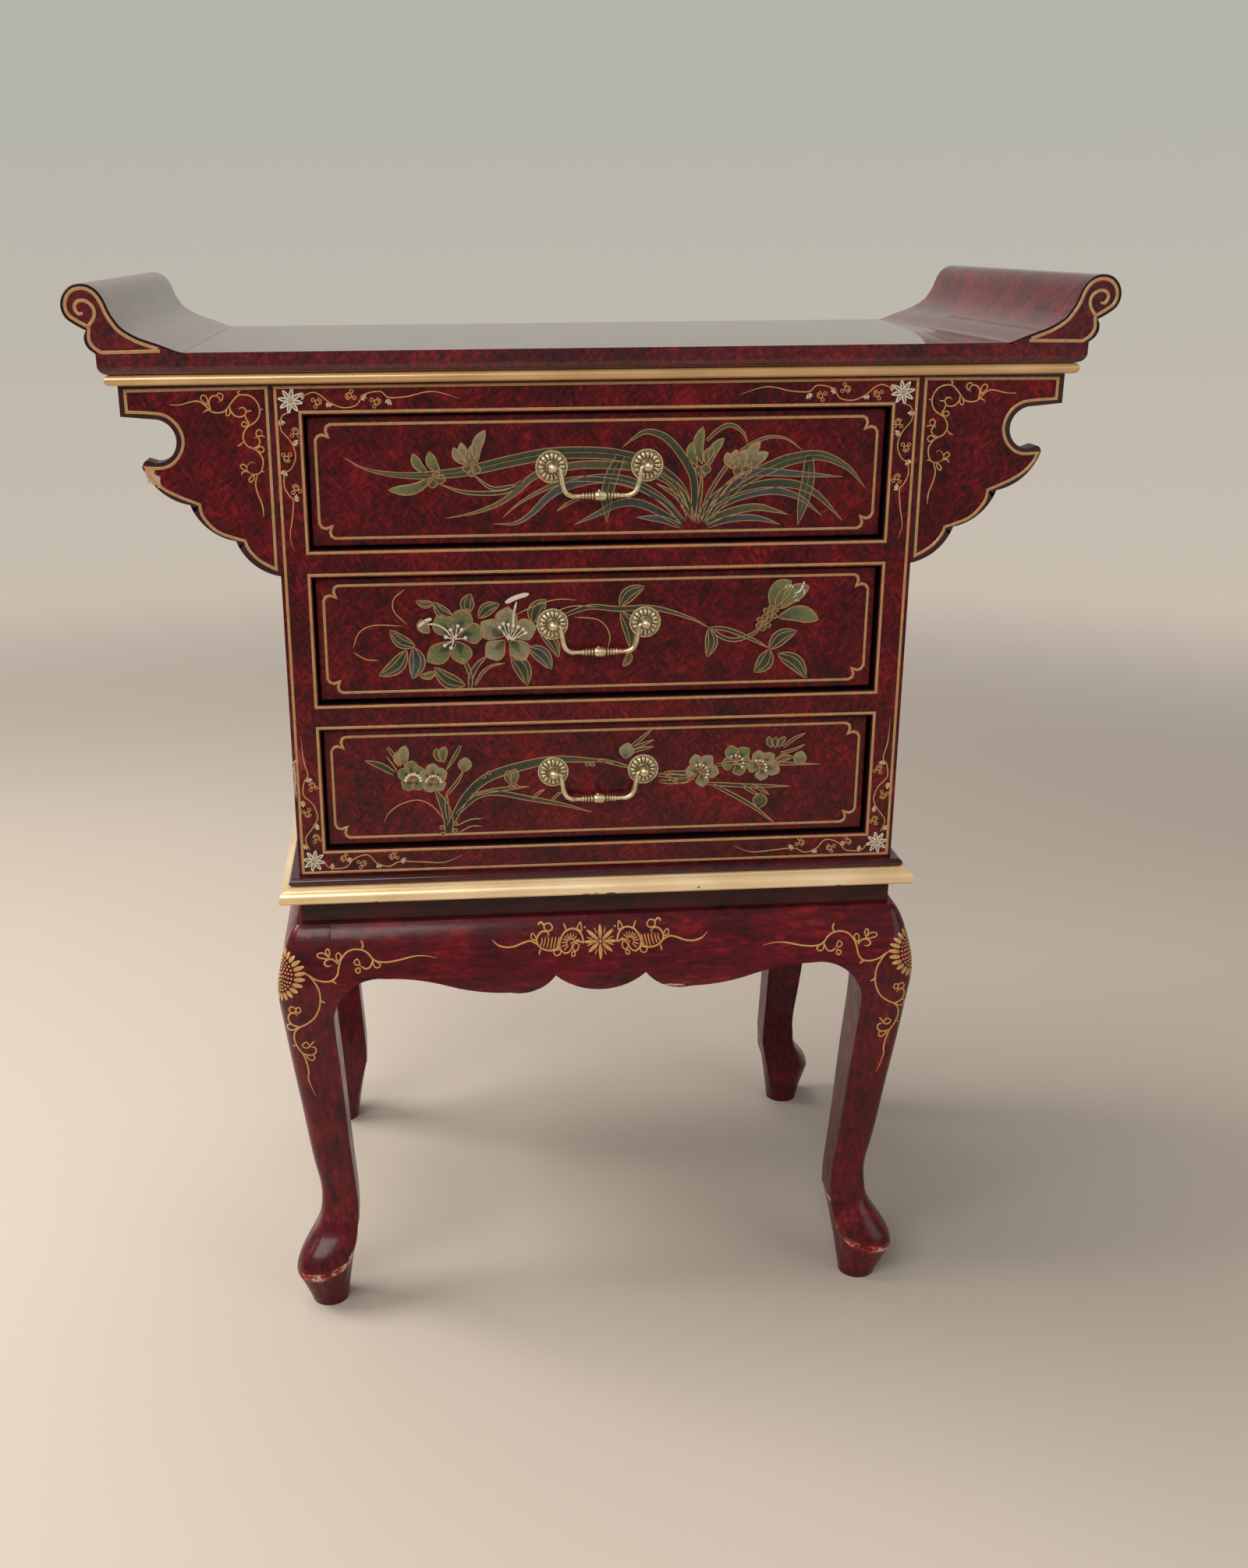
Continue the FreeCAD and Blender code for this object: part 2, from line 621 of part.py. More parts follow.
def leg():
    """Front right cabriole leg: knee, tapering shank, pad foot with a sharp rim that slopes to the toe."""
    ear_z = STAND_HEIGHT - FACE_DROPS[-1]
    rim_rise = HEEL_HEIGHT - TOE_HEIGHT
    sections = []
    for height, share in FOOT_CURVE:
        sections.append((
            between(TOE_HEIGHT, ANKLE_HEIGHT, height),
            between(rim_rise, 0.0, height),
            between(TOE_REACH, ANKLE_REACH, share),
            between(HEEL_SETBACK, ANKLE_SETBACK, share),
            between(TOE_ROUND, ANKLE_ROUND, share),
            between(SIDE_ROUND, ANKLE_SIDE_ROUND, share),
        ))
    for height, share in reversed(SHANK_CURVE):
        sections.append((
            between(ear_z, ANKLE_HEIGHT, height),
            0.0,
            between(FACE_REACHES[-1], ANKLE_REACH, share),
            between(JOINT_SETBACK, ANKLE_SETBACK, height),
            between(KNEE_ROUND, ANKLE_ROUND, height),
            between(ARRIS_ROUND, ANKLE_SIDE_ROUND, height),
        ))
    for drop, reach, share in reversed(list(zip(FACE_DROPS, FACE_REACHES, KNEE_ROUND_SHARES))):
        sections.append((STAND_HEIGHT - drop, 0.0, reach, JOINT_SETBACK, KNEE_ROUND * share, ARRIS_ROUND))
    base = (0.0, 0.0, FOOT_BASE_REACH, FOOT_BASE_SETBACK, FOOT_BASE_ROUND, SIDE_ROUND)
    shaft = Part.makeLoft([rounded_square(*section) for section in sections], True, False)
    foot = Part.makeLoft([rounded_square(*section) for section in (base, sections[0])], True, True)

    # The knee is trimmed flat where the aprons meet it.
    joint_x = CASE_HALF - JOINT_SETBACK
    joint_y = FRONT_Y + JOINT_SETBACK
    above = STAND_HEIGHT + CUT_MARGIN
    behind = block(joint_x - CASE_HALF, 2 * CASE_HALF, joint_y, joint_y + CASE_HALF, ear_z, above)
    beside = block(joint_x - CASE_HALF, joint_x, joint_y - CASE_HALF, joint_y + CASE_HALF, ear_z, above)
    return shaft.cut(behind.fuse(beside)).fuse(foot)


def corner_blocks():
    """Glue blocks in the corners of the waist, up to the case floor, each bored for its screw."""
    x = CASE_HALF - STRIP_DEPTH
    y = CASE_DEPTH / 2 - STRIP_DEPTH
    solids = []
    for place in corner_screw_places():
        side_x = math.copysign(1, place[0])
        side_y = math.copysign(1, place[1])
        corner = Vector(side_x * x, side_y * y, STAND_HEIGHT)
        triangle = Part.makePolygon([
            corner,
            corner - Vector(side_x * BLOCK_SIDE, 0, 0),
            corner - Vector(side_x * BLOCK_SIDE, side_y * BLOCK_EDGE, 0),
            corner - Vector(side_x * BLOCK_EDGE, side_y * BLOCK_SIDE, 0),
            corner - Vector(0, side_y * BLOCK_SIDE, 0),
            corner,
        ])
        glue_block = plank(triangle, z=CASE_Z - STAND_HEIGHT)
        solids.append(glue_block.cut(screw_hole(*place)))
    return Part.makeCompound(solids)


def corner_screws():
    return Part.makeCompound([screw(*place) for place in corner_screw_places()])


def top_screws():
    return Part.makeCompound([screw(*place) for place in top_screw_places()])


def wing_dowels():
    return Part.makeCompound([dowel(side, drop, DOWEL_RADIUS) for side in (-1, 1) for drop in DOWEL_DROPS])


def drawer_front(opening_z):
    """Front with softened face edges, a groove for the bottom panel and holes for the handle posts."""
    low = opening_z + DRAWER_GAP
    high = opening_z + OPENING_HEIGHT - DRAWER_GAP
    board = block(-DRAWER_HALF, DRAWER_HALF, DRAWER_FACE_Y, DRAWER_BOX_Y, low, high)
    face_edges = [edge for edge in board.Edges if edge.BoundBox.Center.y < DRAWER_FACE_Y + DRAWER_FRONT_EDGE]
    board = board.makeFillet(DRAWER_FRONT_EDGE, face_edges)
    groove = drawer_bottom(opening_z, GROOVE_CLEARANCE)
    z = opening_z + PIVOT_RISE
    radius = SHANK_RADIUS + SHANK_CLEARANCE
    holes = [
        rod(side * POST_SPACING / 2, DRAWER_FACE_Y, z, radius, DRAWER_FRONT_THICKNESS, Vector(0, 1, 0))
        for side in (-1, 1)
    ]
    return bored(board, [groove] + holes)


def drawer_bottom(opening_z, clearance=0.0):
    """Bottom panel, held in grooves of the sides and front. With a clearance it is the grooves' cutter."""
    half = DRAWER_INNER_X + GROOVE_DEPTH - GROOVE_CLEARANCE + clearance
    start = DRAWER_BOX_Y - GROOVE_DEPTH + GROOVE_CLEARANCE - clearance
    low = opening_z + DRAWER_BOTTOM_HEIGHT - clearance
    high = opening_z + DRAWER_BOTTOM_HEIGHT + DRAWER_BOTTOM_THICKNESS + clearance
    return block(-half, half, start, DRAWER_BACK_Y, low, high)


def drawer_sides(opening_z):
    low = opening_z + RUNNING_GAP
    high = opening_z + DRAWER_SIDE_TOP
    side = block(DRAWER_INNER_X, DRAWER_SIDE_X, DRAWER_BOX_Y, DRAWER_BACK_Y, low, high)
    side = side.cut(drawer_bottom(opening_z, GROOVE_CLEARANCE))
    return Part.makeCompound([mirrored(side), side])


def drawer_back(opening_z):
    low = opening_z + DRAWER_BOTTOM_HEIGHT + DRAWER_BOTTOM_THICKNESS
    top = opening_z + DRAWER_SIDE_TOP
    start_y = DRAWER_BACK_Y - DRAWER_SIDE_THICKNESS
    return block(-DRAWER_INNER_X, DRAWER_INNER_X, start_y, DRAWER_BACK_Y, low, top)


def spun(points, x, y, z, axis):
    """Solid turned about a horizontal axis. A point is a distance along the axis and a radius."""
    across = Vector(0, 0, 1)
    start = Vector(x, y, z)

    def place(along, radius):
        return start + axis * along + across * radius

    return Part.Face(outline(place, *points)).revolve(start, axis, 360)


def rosette(x, z):
    """Domed plate behind a post, with a flat rim and a hole for the shank."""
    hole = SHANK_RADIUS + SHANK_CLEARANCE
    rim = (ROSETTE_RIM, ROSETTE_RADIUS)
    return spun(
        [(0, hole),
         ((0, ROSETTE_RADIUS),),
         (rim,),
         bulged(rim, (ROSETTE_HEIGHT, hole), ROSETTE_CROWN)],
        x, DRAWER_FACE_Y, z, Vector(0, -1, 0),
    )


def post(side, z):
    """Turned post: shank through the front, collar on the rosette, neck, and ball bored for the bail."""
    x = side * POST_SPACING / 2
    inside = -(DRAWER_FRONT_THICKNESS + NUT_HEIGHT + SHANK_PAST_NUT)
    collar_top = ROSETTE_HEIGHT + COLLAR_HEIGHT
    ball_start = PIVOT_STANDOFF - math.sqrt(BALL_RADIUS ** 2 - NECK_RADIUS ** 2)
    body = spun(
        [(inside, 0),
         ((inside, SHANK_RADIUS),),
         ((ROSETTE_HEIGHT, SHANK_RADIUS),),
         ((ROSETTE_HEIGHT, COLLAR_RADIUS),),
         ((collar_top, COLLAR_RADIUS),),
         ((collar_top, NECK_RADIUS),),
         ((ball_start, NECK_RADIUS),),
         ((PIVOT_STANDOFF, BALL_RADIUS), (PIVOT_STANDOFF + BALL_RADIUS, 0))],
        x, DRAWER_FACE_Y, z, Vector(0, -1, 0),
    )
    mouth_x = x - side * 2 * BALL_RADIUS
    depth = BALL_RADIUS + BAIL_PIN_DEPTH + BAIL_PIN_CLEARANCE
    hole = rod(mouth_x, PIVOT_Y, z, BAIL_WIRE_RADIUS + BAIL_PIN_CLEARANCE, depth, Vector(side, 0, 0))
    return body.cut(hole)


def nut(x, z):
    radius = NUT_FLATS / math.sqrt(3)
    corners = [
        Vector(x + radius * math.cos(angle), DRAWER_BOX_Y, z + radius * math.sin(angle))
        for angle in [math.radians(60 * i) for i in range(7)]
    ]
    body = plank(Part.makePolygon(corners), y=NUT_HEIGHT)
    return body.cut(rod(x, DRAWER_BOX_Y, z, SHANK_RADIUS + SHANK_CLEARANCE / 2, NUT_HEIGHT, Vector(0, 1, 0)))


def bail(pivot_z):
    """Swinging handle: wire pins and arms, and a turned grip with a barrel between two runs of rings."""
    arm_x = POST_SPACING / 2 - BALL_RADIUS - BAIL_WIRE_RADIUS - BAIL_ARM_CLEARANCE
    pin_x = POST_SPACING / 2 - BALL_RADIUS + BAIL_PIN_DEPTH
    bar_z = pivot_z - BAIL_DROP
    lean = 1 - math.sqrt(0.5)

    def at(x, z):
        return Vector(x, PIVOT_Y, z)

    def half_wire(side):
        elbow = Part.Arc(
            at(side * (arm_x + BAIL_ELBOW), pivot_z),
            at(side * (arm_x + BAIL_ELBOW * lean), pivot_z - BAIL_ELBOW * lean),
            at(side * arm_x, pivot_z - BAIL_ELBOW),
        )
        bend = Part.Arc(
            at(side * arm_x, bar_z + BAIL_BEND),
            at(side * (arm_x - BAIL_BEND * lean), bar_z + BAIL_BEND * lean),
            at(side * (arm_x - BAIL_BEND), bar_z),
        )
        pin = Part.LineSegment(at(side * pin_x, pivot_z), at(side * (arm_x + BAIL_ELBOW), pivot_z))
        arm = Part.LineSegment(at(side * arm_x, pivot_z - BAIL_ELBOW), at(side * arm_x, bar_z + BAIL_BEND))
        bar = Part.LineSegment(at(side * (arm_x - BAIL_BEND), bar_z), at(0, bar_z))
        spine = Part.Wire([curve.toShape() for curve in (pin, elbow, arm, bend, bar)])
        circle = Part.Circle(at(side * pin_x, pivot_z), Vector(1, 0, 0), BAIL_WIRE_RADIUS)
        return spine.makePipeShell([Part.Wire([circle.toShape()])], True, False)

    barrel_half = BARREL_LENGTH / 2
    grip = spun(
        [(-barrel_half, 0),
         ((-barrel_half, RING_RADIUS),),
         ((0, BARREL_RADIUS), (barrel_half, RING_RADIUS)),
         ((barrel_half, 0),)],
        0, PIVOT_Y, bar_z, Vector(1, 0, 0),
    )
    solid = half_wire(1).fuse(half_wire(-1)).fuse(grip)
    for side in (-1, 1):
        for i in range(RING_COUNT):
            middle = side * (barrel_half + RING_PITCH * (i + 0.5))
            first = middle - RING_WIDTH / 2
            last = middle + RING_WIDTH / 2
            ring = spun(
                [(first, 0),
                 ((first, RING_ROOT_RADIUS),),
                 ((middle, RING_RADIUS), (last, RING_ROOT_RADIUS)),
                 ((last, 0),)],
                0, PIVOT_Y, bar_z, Vector(1, 0, 0),
            )
            solid = solid.fuse(ring)
    return solid


def cabinet_pieces():
    """Every fixed piece of the cabinet by its node name."""
    right_leg = leg()
    pieces = {
        "top_board": top_board(),
        "right_scroll_end": scroll_end(),
        "sub_top_board": sub_top_board(),
        "top_gold_bead": top_gold_bead(),
        "right_wing_bracket": wing_bracket(),
        "right_side_panel": side_panel(),
        "back_panel": back_panel(),
        "case_top_panel": case_top_panel(),
        "case_bottom_panel": case_bottom_panel(),
        "right_stile": stile(),
        "top_rail": rail(OPENING_ZS[2] + OPENING_HEIGHT, TOP_RAIL_HEIGHT),
        "upper_divider_rail": rail(OPENING_ZS[1] + OPENING_HEIGHT, DIVIDER_HEIGHT),
        "lower_divider_rail": rail(OPENING_ZS[0] + OPENING_HEIGHT, DIVIDER_HEIGHT),
        "bottom_rail": rail(CASE_Z, BOTTOM_RAIL_HEIGHT),
        "drawer_runners": drawer_runners(),
        "drawer_stops": drawer_stops(),
        "base_red_bead": base_red_bead(),
        "base_gold_band": base_gold_band(),
        "waist_strips": waist_strips(),
        "front_apron": apron(CASE_HALF, CASE_DEPTH / 2, FRONT_LOBE_HALF, 0),
        "right_apron": apron(CASE_DEPTH / 2, CASE_HALF, SIDE_LOBE_HALF, 1),
        "back_apron": apron(CASE_HALF, CASE_DEPTH / 2, FRONT_LOBE_HALF, 2),
        "left_apron": apron(CASE_DEPTH / 2, CASE_HALF, SIDE_LOBE_HALF, 3),
        "front_right_leg": right_leg,
        "front_left_leg": mirrored(right_leg),
        "back_left_leg": turned(right_leg, 2),
        "back_right_leg": mirrored(turned(right_leg, 2)),
        "corner_blocks": corner_blocks(),
        "corner_screws": corner_screws(),
        "top_screws": top_screws(),
        "wing_dowels": wing_dowels(),
    }
    for name in ("scroll_end", "wing_bracket", "side_panel", "stile"):
        pieces["left_" + name] = mirrored(pieces["right_" + name])
    return pieces


def drawer_pieces(name, opening_z):
    """Every piece of one drawer and its handle by its node name."""
    pivot_z = opening_z + PIVOT_RISE
    sides = (-1, 1)
    return {
        name + "_drawer_front": drawer_front(opening_z),
        name + "_drawer_sides": drawer_sides(opening_z),
        name + "_drawer_back": drawer_back(opening_z),
        name + "_drawer_bottom": drawer_bottom(opening_z),
        name + "_rosettes": Part.makeCompound([rosette(side * POST_SPACING / 2, pivot_z) for side in sides]),
        name + "_posts": Part.makeCompound([post(side, pivot_z) for side in sides]),
        name + "_nuts": Part.makeCompound([nut(side * POST_SPACING / 2, pivot_z) for side in sides]),
        name + "_bail": bail(pivot_z),
    }


def main():
    os.makedirs("parts", exist_ok=True)
    pieces = cabinet_pieces()
    for name, opening_z in zip(("lower", "middle", "upper"), OPENING_ZS):
        pieces.update(drawer_pieces(name, opening_z))
    for name, shape in pieces.items():
        shape.exportStep("parts/" + name + ".step")
        if not shape.isValid():
            print("not valid:", name)
    print(len(pieces), "nodes")


main()
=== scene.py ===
"""Looks of the temple cabinet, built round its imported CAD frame."""

import math
import random

import bmesh
import bpy
from mathutils import Matrix, Vector
from mathutils.bvhtree import BVHTree


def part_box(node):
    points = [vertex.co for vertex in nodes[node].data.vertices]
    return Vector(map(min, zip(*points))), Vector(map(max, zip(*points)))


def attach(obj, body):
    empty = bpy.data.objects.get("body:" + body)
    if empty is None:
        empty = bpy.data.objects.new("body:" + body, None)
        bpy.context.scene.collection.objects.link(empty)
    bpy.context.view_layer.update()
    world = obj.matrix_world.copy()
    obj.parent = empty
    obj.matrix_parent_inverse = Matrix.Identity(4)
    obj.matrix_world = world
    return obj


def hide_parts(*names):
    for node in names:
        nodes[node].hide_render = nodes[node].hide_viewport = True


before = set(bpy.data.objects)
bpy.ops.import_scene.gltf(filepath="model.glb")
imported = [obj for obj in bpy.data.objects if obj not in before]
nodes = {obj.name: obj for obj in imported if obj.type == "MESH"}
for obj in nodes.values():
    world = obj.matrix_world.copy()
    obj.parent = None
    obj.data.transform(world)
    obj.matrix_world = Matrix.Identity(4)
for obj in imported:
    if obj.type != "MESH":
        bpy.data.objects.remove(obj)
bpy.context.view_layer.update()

MM = 0.001
DRAWERS = ("lower", "middle", "upper")
SIDES = (1, -1)
NAMED_SIDES = (("right", 1), ("left", -1))
FRONT, BACK = (0, -1, 0), (0, 1, 0)
LEFT, RIGHT = (-1, 0, 0), (1, 0, 0)
UP, DOWN = (0, 0, 1), (0, 0, -1)


def link(thing):
    bpy.context.scene.collection.objects.link(thing)
    return thing


def polar(reach, degrees, middle=(0.0, 0.0)):
    angle = math.radians(degrees)
    return Vector((middle[0] + reach * math.cos(angle), middle[1] + reach * math.sin(angle)))


def circle(middle, radius, count):
    """Points round a circle."""
    return [polar(radius, 360 * k / count, middle) for k in range(count)]


# Camera at the photograph's viewing angle
IMAGE_LONG_SIDE = 2011
SENSOR = 36.0
FOCAL_PIXELS = 2131.3
SHIFT_PIXELS = (100.9, 60.9)
CAMERA_PLACE = (-0.1457, -1.4947, 0.9328)
CAMERA_YAW = math.radians(4.34)
CAMERA_PITCH = math.radians(-19.86)
CAMERA_ROLL = math.radians(-0.41)


def add_camera():
    lens = bpy.data.cameras.new("photo_camera")
    lens.sensor_width = SENSOR
    lens.lens = SENSOR * FOCAL_PIXELS / IMAGE_LONG_SIDE
    lens.shift_x = SHIFT_PIXELS[0] / IMAGE_LONG_SIDE
    lens.shift_y = SHIFT_PIXELS[1] / IMAGE_LONG_SIDE
    level = math.cos(CAMERA_PITCH)
    forward = Vector((math.sin(CAMERA_YAW) * level, math.cos(CAMERA_YAW) * level, math.sin(CAMERA_PITCH)))
    right = Vector((math.cos(CAMERA_YAW), -math.sin(CAMERA_YAW), 0))
    up = right.cross(forward)
    rolled_right = right * math.cos(CAMERA_ROLL) + up * math.sin(CAMERA_ROLL)
    rolled_up = up * math.cos(CAMERA_ROLL) - right * math.sin(CAMERA_ROLL)
    turn = Matrix((rolled_right, rolled_up, -forward)).transposed().to_4x4()
    camera = link(bpy.data.objects.new("photo_camera", lens))
    camera.matrix_world = Matrix.Translation(CAMERA_PLACE) @ turn
    bpy.context.scene.camera = camera


# Node helpers for the materials
def new_material(name):
    material = bpy.data.materials.new(name)
    material.use_nodes = True
    tree = material.node_tree
    return material, tree, tree.nodes["Principled BSDF"]


def connect(tree, node, inputs):
    """Links each input to the socket given for it, or sets its value."""
    for name, value in inputs.items():
        if isinstance(value, bpy.types.NodeSocket):
            tree.links.new(value, node.inputs[name])
        else:
            node.inputs[name].default_value = value


def add_node(tree, kind, inputs=None, **settings):
    made = tree.nodes.new("ShaderNode" + kind)
    for name, value in settings.items():
        setattr(made, name, value)
    connect(tree, made, inputs or {})
    return made


def place_of(tree):
    return add_node(tree, "TexCoord").outputs["Object"]


def noise(tree, place, scale, detail=3.0, roughness=0.5):
    inputs = {"Vector": place, "Scale": scale, "Detail": detail, "Roughness": roughness}
    return add_node(tree, "TexNoise", inputs).outputs["Fac"]


def number(tree, operation, first, second):
    """Two numbers combined; MULTIPLY_ADD adds the node's own half."""
    return add_node(tree, "Math", {0: first, 1: second}, operation=operation).outputs[0]


def weighed(tree, first, second, share):
    """A share of the first number and the rest of the second."""
    weights = ((first, share), (second, 1 - share))
    return number(tree, "ADD", *(number(tree, "MULTIPLY", part, weight) for part, weight in weights))


def vector(tree, operation, first, second):
    made = add_node(tree, "VectorMath", {0: first, 1: second}, operation=operation)
    return made.outputs["Value" if operation == "DOT_PRODUCT" else "Vector"]


def ramp(tree, factor, stops):
    made = add_node(tree, "ValToRGB", {"Fac": factor})
    bands = made.color_ramp.elements
    while len(bands) < len(stops):
        bands.new(0.5)
    for band, (position, colour) in zip(bands, stops):
        band.position = position
        band.color = (*colour, 1.0)
    return made.outputs["Color"]


def grey_ramp(tree, factor, stops):
    return ramp(tree, factor, [(position, (value,) * 3) for position, value in stops])


def blend(tree, factor, first, second):
    inputs = {0: factor}
    for index, colour in ((6, first), (7, second)):
        inputs[index] = colour if isinstance(colour, bpy.types.NodeSocket) else (*colour, 1.0)
    return add_node(tree, "Mix", inputs, data_type="RGBA").outputs[2]


def stretch(tree, place, scales):
    return vector(tree, "MULTIPLY", place, scales)


def bump(tree, height, strength, distance=0.0004):
    inputs = {"Height": height, "Strength": strength, "Distance": distance}
    return add_node(tree, "Bump", inputs).outputs["Normal"]


def facing(tree, direction, least):
    """1 where the surface faces the direction, else 0."""
    normal = add_node(tree, "NewGeometry").outputs["True Normal"]
    return number(tree, "GREATER_THAN", vector(tree, "DOT_PRODUCT", normal, direction), least)


# Materials
BLACK_LACQUER = (0.0050, 0.0035, 0.0045)
CHIP_PALE = (0.52, 0.36, 0.24)
CHIP_RED = (0.29, 0.024, 0.024)
BARE_WOOD = (0.34, 0.20, 0.10)
PLANK_SHADE = (0.22, 0.12, 0.055)
WOOD_SHADE = (0.19, 0.10, 0.045)
# Dark brown for the brass's hollows: tarnish and painted shade
BRASS_TARNISH_AND_SHADE = (0.050, 0.034, 0.014)
NICK_GROUND = (0.045, 0.012, 0.010)
WORN_TO_RED = ((0.38, 0.0), (0.45, 1.0))
WORN_TO_PALE = ((0.48, 0.0), (0.52, 1.0))
LACQUER_STOPS = (
    (0.37, (0.011, 0.0030, 0.0030)),
    (0.45, (0.042, 0.0032, 0.0042)),
    (0.53, (0.095, 0.0038, 0.0060)),
    (0.63, (0.215, 0.0085, 0.0110)),
)
STAND_STOPS = (
    (0.36, (0.018, 0.0032, 0.0042)),
    (0.45, (0.058, 0.0040, 0.0064)),
    (0.54, (0.102, 0.0048, 0.0084)),
    (0.64, (0.210, 0.0100, 0.0115)),
)
PLUM_STOPS = ((0.38, (0.014, 0.0030, 0.0050)), (0.62, (0.090, 0.0060, 0.0110)))
WAIST_STOPS = ((0.40, (0.015, 0.0042, 0.0045)), (0.60, (0.058, 0.0070, 0.0078)))
DAB_AXIS = (0.2, 1.0, 0.1)
DAB_TURNS = (0.55, -0.85)
STREAK_TURNS = (0.06, -0.08)
SHORT_DABS = (1.0, 1.0, 0.34)
LEVEL_STREAKS = (0.16, 0.16, 1.0)
UPRIGHT_STREAKS = (1.0, 1.0, 0.28)
LEVEL_FROM, LEVEL_BLEND = 0.315, 0.03
FINE_BUMP = 0.0001


def dabbed(tree, place, scales, scale, turns):
    """Short brush dabs that lean one way in some patches and the other way in the rest."""
    sets = []
    for turn in turns:
        inputs = {"Vector": place, "Axis": DAB_AXIS, "Angle": turn}
        turned = add_node(tree, "VectorRotate", inputs, rotation_type="AXIS_ANGLE").outputs["Vector"]
        inputs = {"Vector": stretch(tree, turned, scales), "Scale": scale, "Detail": 4.0, "Roughness": 0.66}
        sets.append(add_node(tree, "TexNoise", inputs | {"Distortion": 0.2}).outputs["Fac"])
    patch = grey_ramp(tree, noise(tree, place, 95.0, 2.0), ((0.42, 0.0), (0.58, 1.0)))
    return blend(tree, patch, *sets)


def lacquer(name, stops=LACQUER_STOPS, dabs=SHORT_DABS, turns=DAB_TURNS, fine=370.0, black=(), bare=None,
            level_from=None, gloss=0.07, coat=0.36):
    """Red lacquer dabbed over near-black brown; black on the faces named, bare wood on the hidden one."""
    material, tree, shader = new_material(name)
    place = place_of(tree)
    strokes = dabbed(tree, place, dabs, fine, turns)
    if level_from:
        height = add_node(tree, "SeparateXYZ", {"Vector": place}).outputs["Z"]
        span = {"Value": height, "From Min": level_from, "From Max": level_from + LEVEL_BLEND}
        share = add_node(tree, "MapRange", span).outputs["Result"]
        strokes = blend(tree, share, strokes, dabbed(tree, place, LEVEL_STREAKS, fine, turns))
    patches = noise(tree, place, 24.0, 4.0, 0.6)
    colour = ramp(tree, weighed(tree, strokes, patches, 0.65), stops)
    worn = add_node(tree, "Attribute", attribute_name="worn").outputs["Fac"]
    rubbed = number(tree, "MULTIPLY", worn, noise(tree, place, 95.0, 5.0, 0.7))
    for wear, ground in ((WORN_TO_RED, CHIP_RED), (WORN_TO_PALE, CHIP_PALE)):
        colour = blend(tree, grey_ramp(tree, rubbed, wear), colour, ground)
    for direction, least in black:
        colour = blend(tree, facing(tree, direction, least), colour, BLACK_LACQUER)
    if bare:
        grain = noise(tree, stretch(tree, place, (1.0, 9.0, 9.0)), 22.0, 5.0, 0.6)
        planks = ramp(tree, grain, ((0.3, PLANK_SHADE), (0.7, BARE_WOOD)))
        colour = blend(tree, facing(tree, bare, 0.5), colour, planks)
    uneven = number(tree, "ADD", strokes, noise(tree, place, 33.0))
    connect(tree, shader, {
        "Base Color": colour,
        "Roughness": grey_ramp(tree, noise(tree, place, 60.0, 4.0, 0.6), ((0.3, 0.30), (0.7, 0.48))),
        "Specular IOR Level": 0.10,
        "Coat Weight": coat,
        "Coat Roughness": gloss,
        "Normal": bump(tree, uneven, 0.05),
    })
    return material


def black_lacquer(name):
    material, tree, shader = new_material(name)
    rubbed = noise(tree, place_of(tree), 70.0, 5.0, 0.65)
    connect(tree, shader, {
        "Base Color": ramp(tree, rubbed, ((0.45, BLACK_LACQUER), (0.72, (0.030, 0.006, 0.007)))),
        "Roughness": grey_ramp(tree, rubbed, ((0.3, 0.22), (0.7, 0.42))),
        "Specular IOR Level": 0.12,
        "Coat Weight": 0.4,
        "Coat Roughness": 0.10,
        "Normal": bump(tree, rubbed, 0.08),
    })
    return material


# The base band's gold is paler than its paint: its pale stops paint in the sheen of light along the band.
# The top bead's gold is darker and more orange.
BAND_STOPS_WITH_PAINTED_SHEEN = ((0.30, (0.79, 0.53, 0.26)), (0.52, (0.91, 0.66, 0.37)), (0.70, (0.97, 0.75, 0.47)))
BEAD_STOPS = ((0.30, (0.50, 0.28, 0.11)), (0.52, (0.64, 0.38, 0.16)), (0.70, (0.76, 0.48, 0.22)))


def gold_moulding(name, stops):
    """Satin gold paint, brushed lengthwise, a little cloudy and nicked; its colours come from the stops
    given, and the base band's stops carry painted sheen.
    """
    material, tree, shader = new_material(name)
    place = place_of(tree)
    brushed = noise(tree, stretch(tree, place, (0.1, 0.1, 1.0)), 500.0)
    cloud = noise(tree, place, 11.0)
    colour = ramp(tree, weighed(tree, brushed, cloud, 0.12), stops)
    nicks = grey_ramp(tree, noise(tree, place, 120.0, 3.0, 0.8), ((0.235, 1.0), (0.26, 0.0)))
    connect(tree, shader, {
        "Base Color": blend(tree, nicks, colour, NICK_GROUND),
        "Roughness": grey_ramp(tree, cloud, ((0.3, 0.26), (0.7, 0.38))),
        "Metallic": 0.35,
        "Coat Weight": 0.7,
        "Coat Roughness": 0.14,
        "Normal": bump(tree, brushed, 0.015),
    })
    return material


def paint(name, thin, thick, metallic=0.0, roughness=0.42):
    """A brushed-on colour that runs from thin to thick by each shape's own tone, and is rubbed in places."""
    material, tree, shader = new_material(name)
    place = place_of(tree)
    tone = add_node(tree, "Attribute", attribute_name="tone").outputs["Fac"]
    uneven = number(tree, "SUBTRACT", noise(tree, place, 260.0, 4.0, 0.65), 0.5)
    level = number(tree, "ADD", tone, number(tree, "MULTIPLY", uneven, 1.3))
    worn = noise(tree, place, 75.0, 3.0, 0.6)
    connect(tree, shader, {
        "Base Color": ramp(tree, level, ((0.0, thin), (1.0, thick))),
        "Roughness": grey_ramp(tree, worn, ((0.3, roughness - 0.1), (0.7, roughness + 0.1))),
        "Metallic": metallic,
        "Normal": bump(tree, uneven, 0.2, FINE_BUMP),
    })
    return material


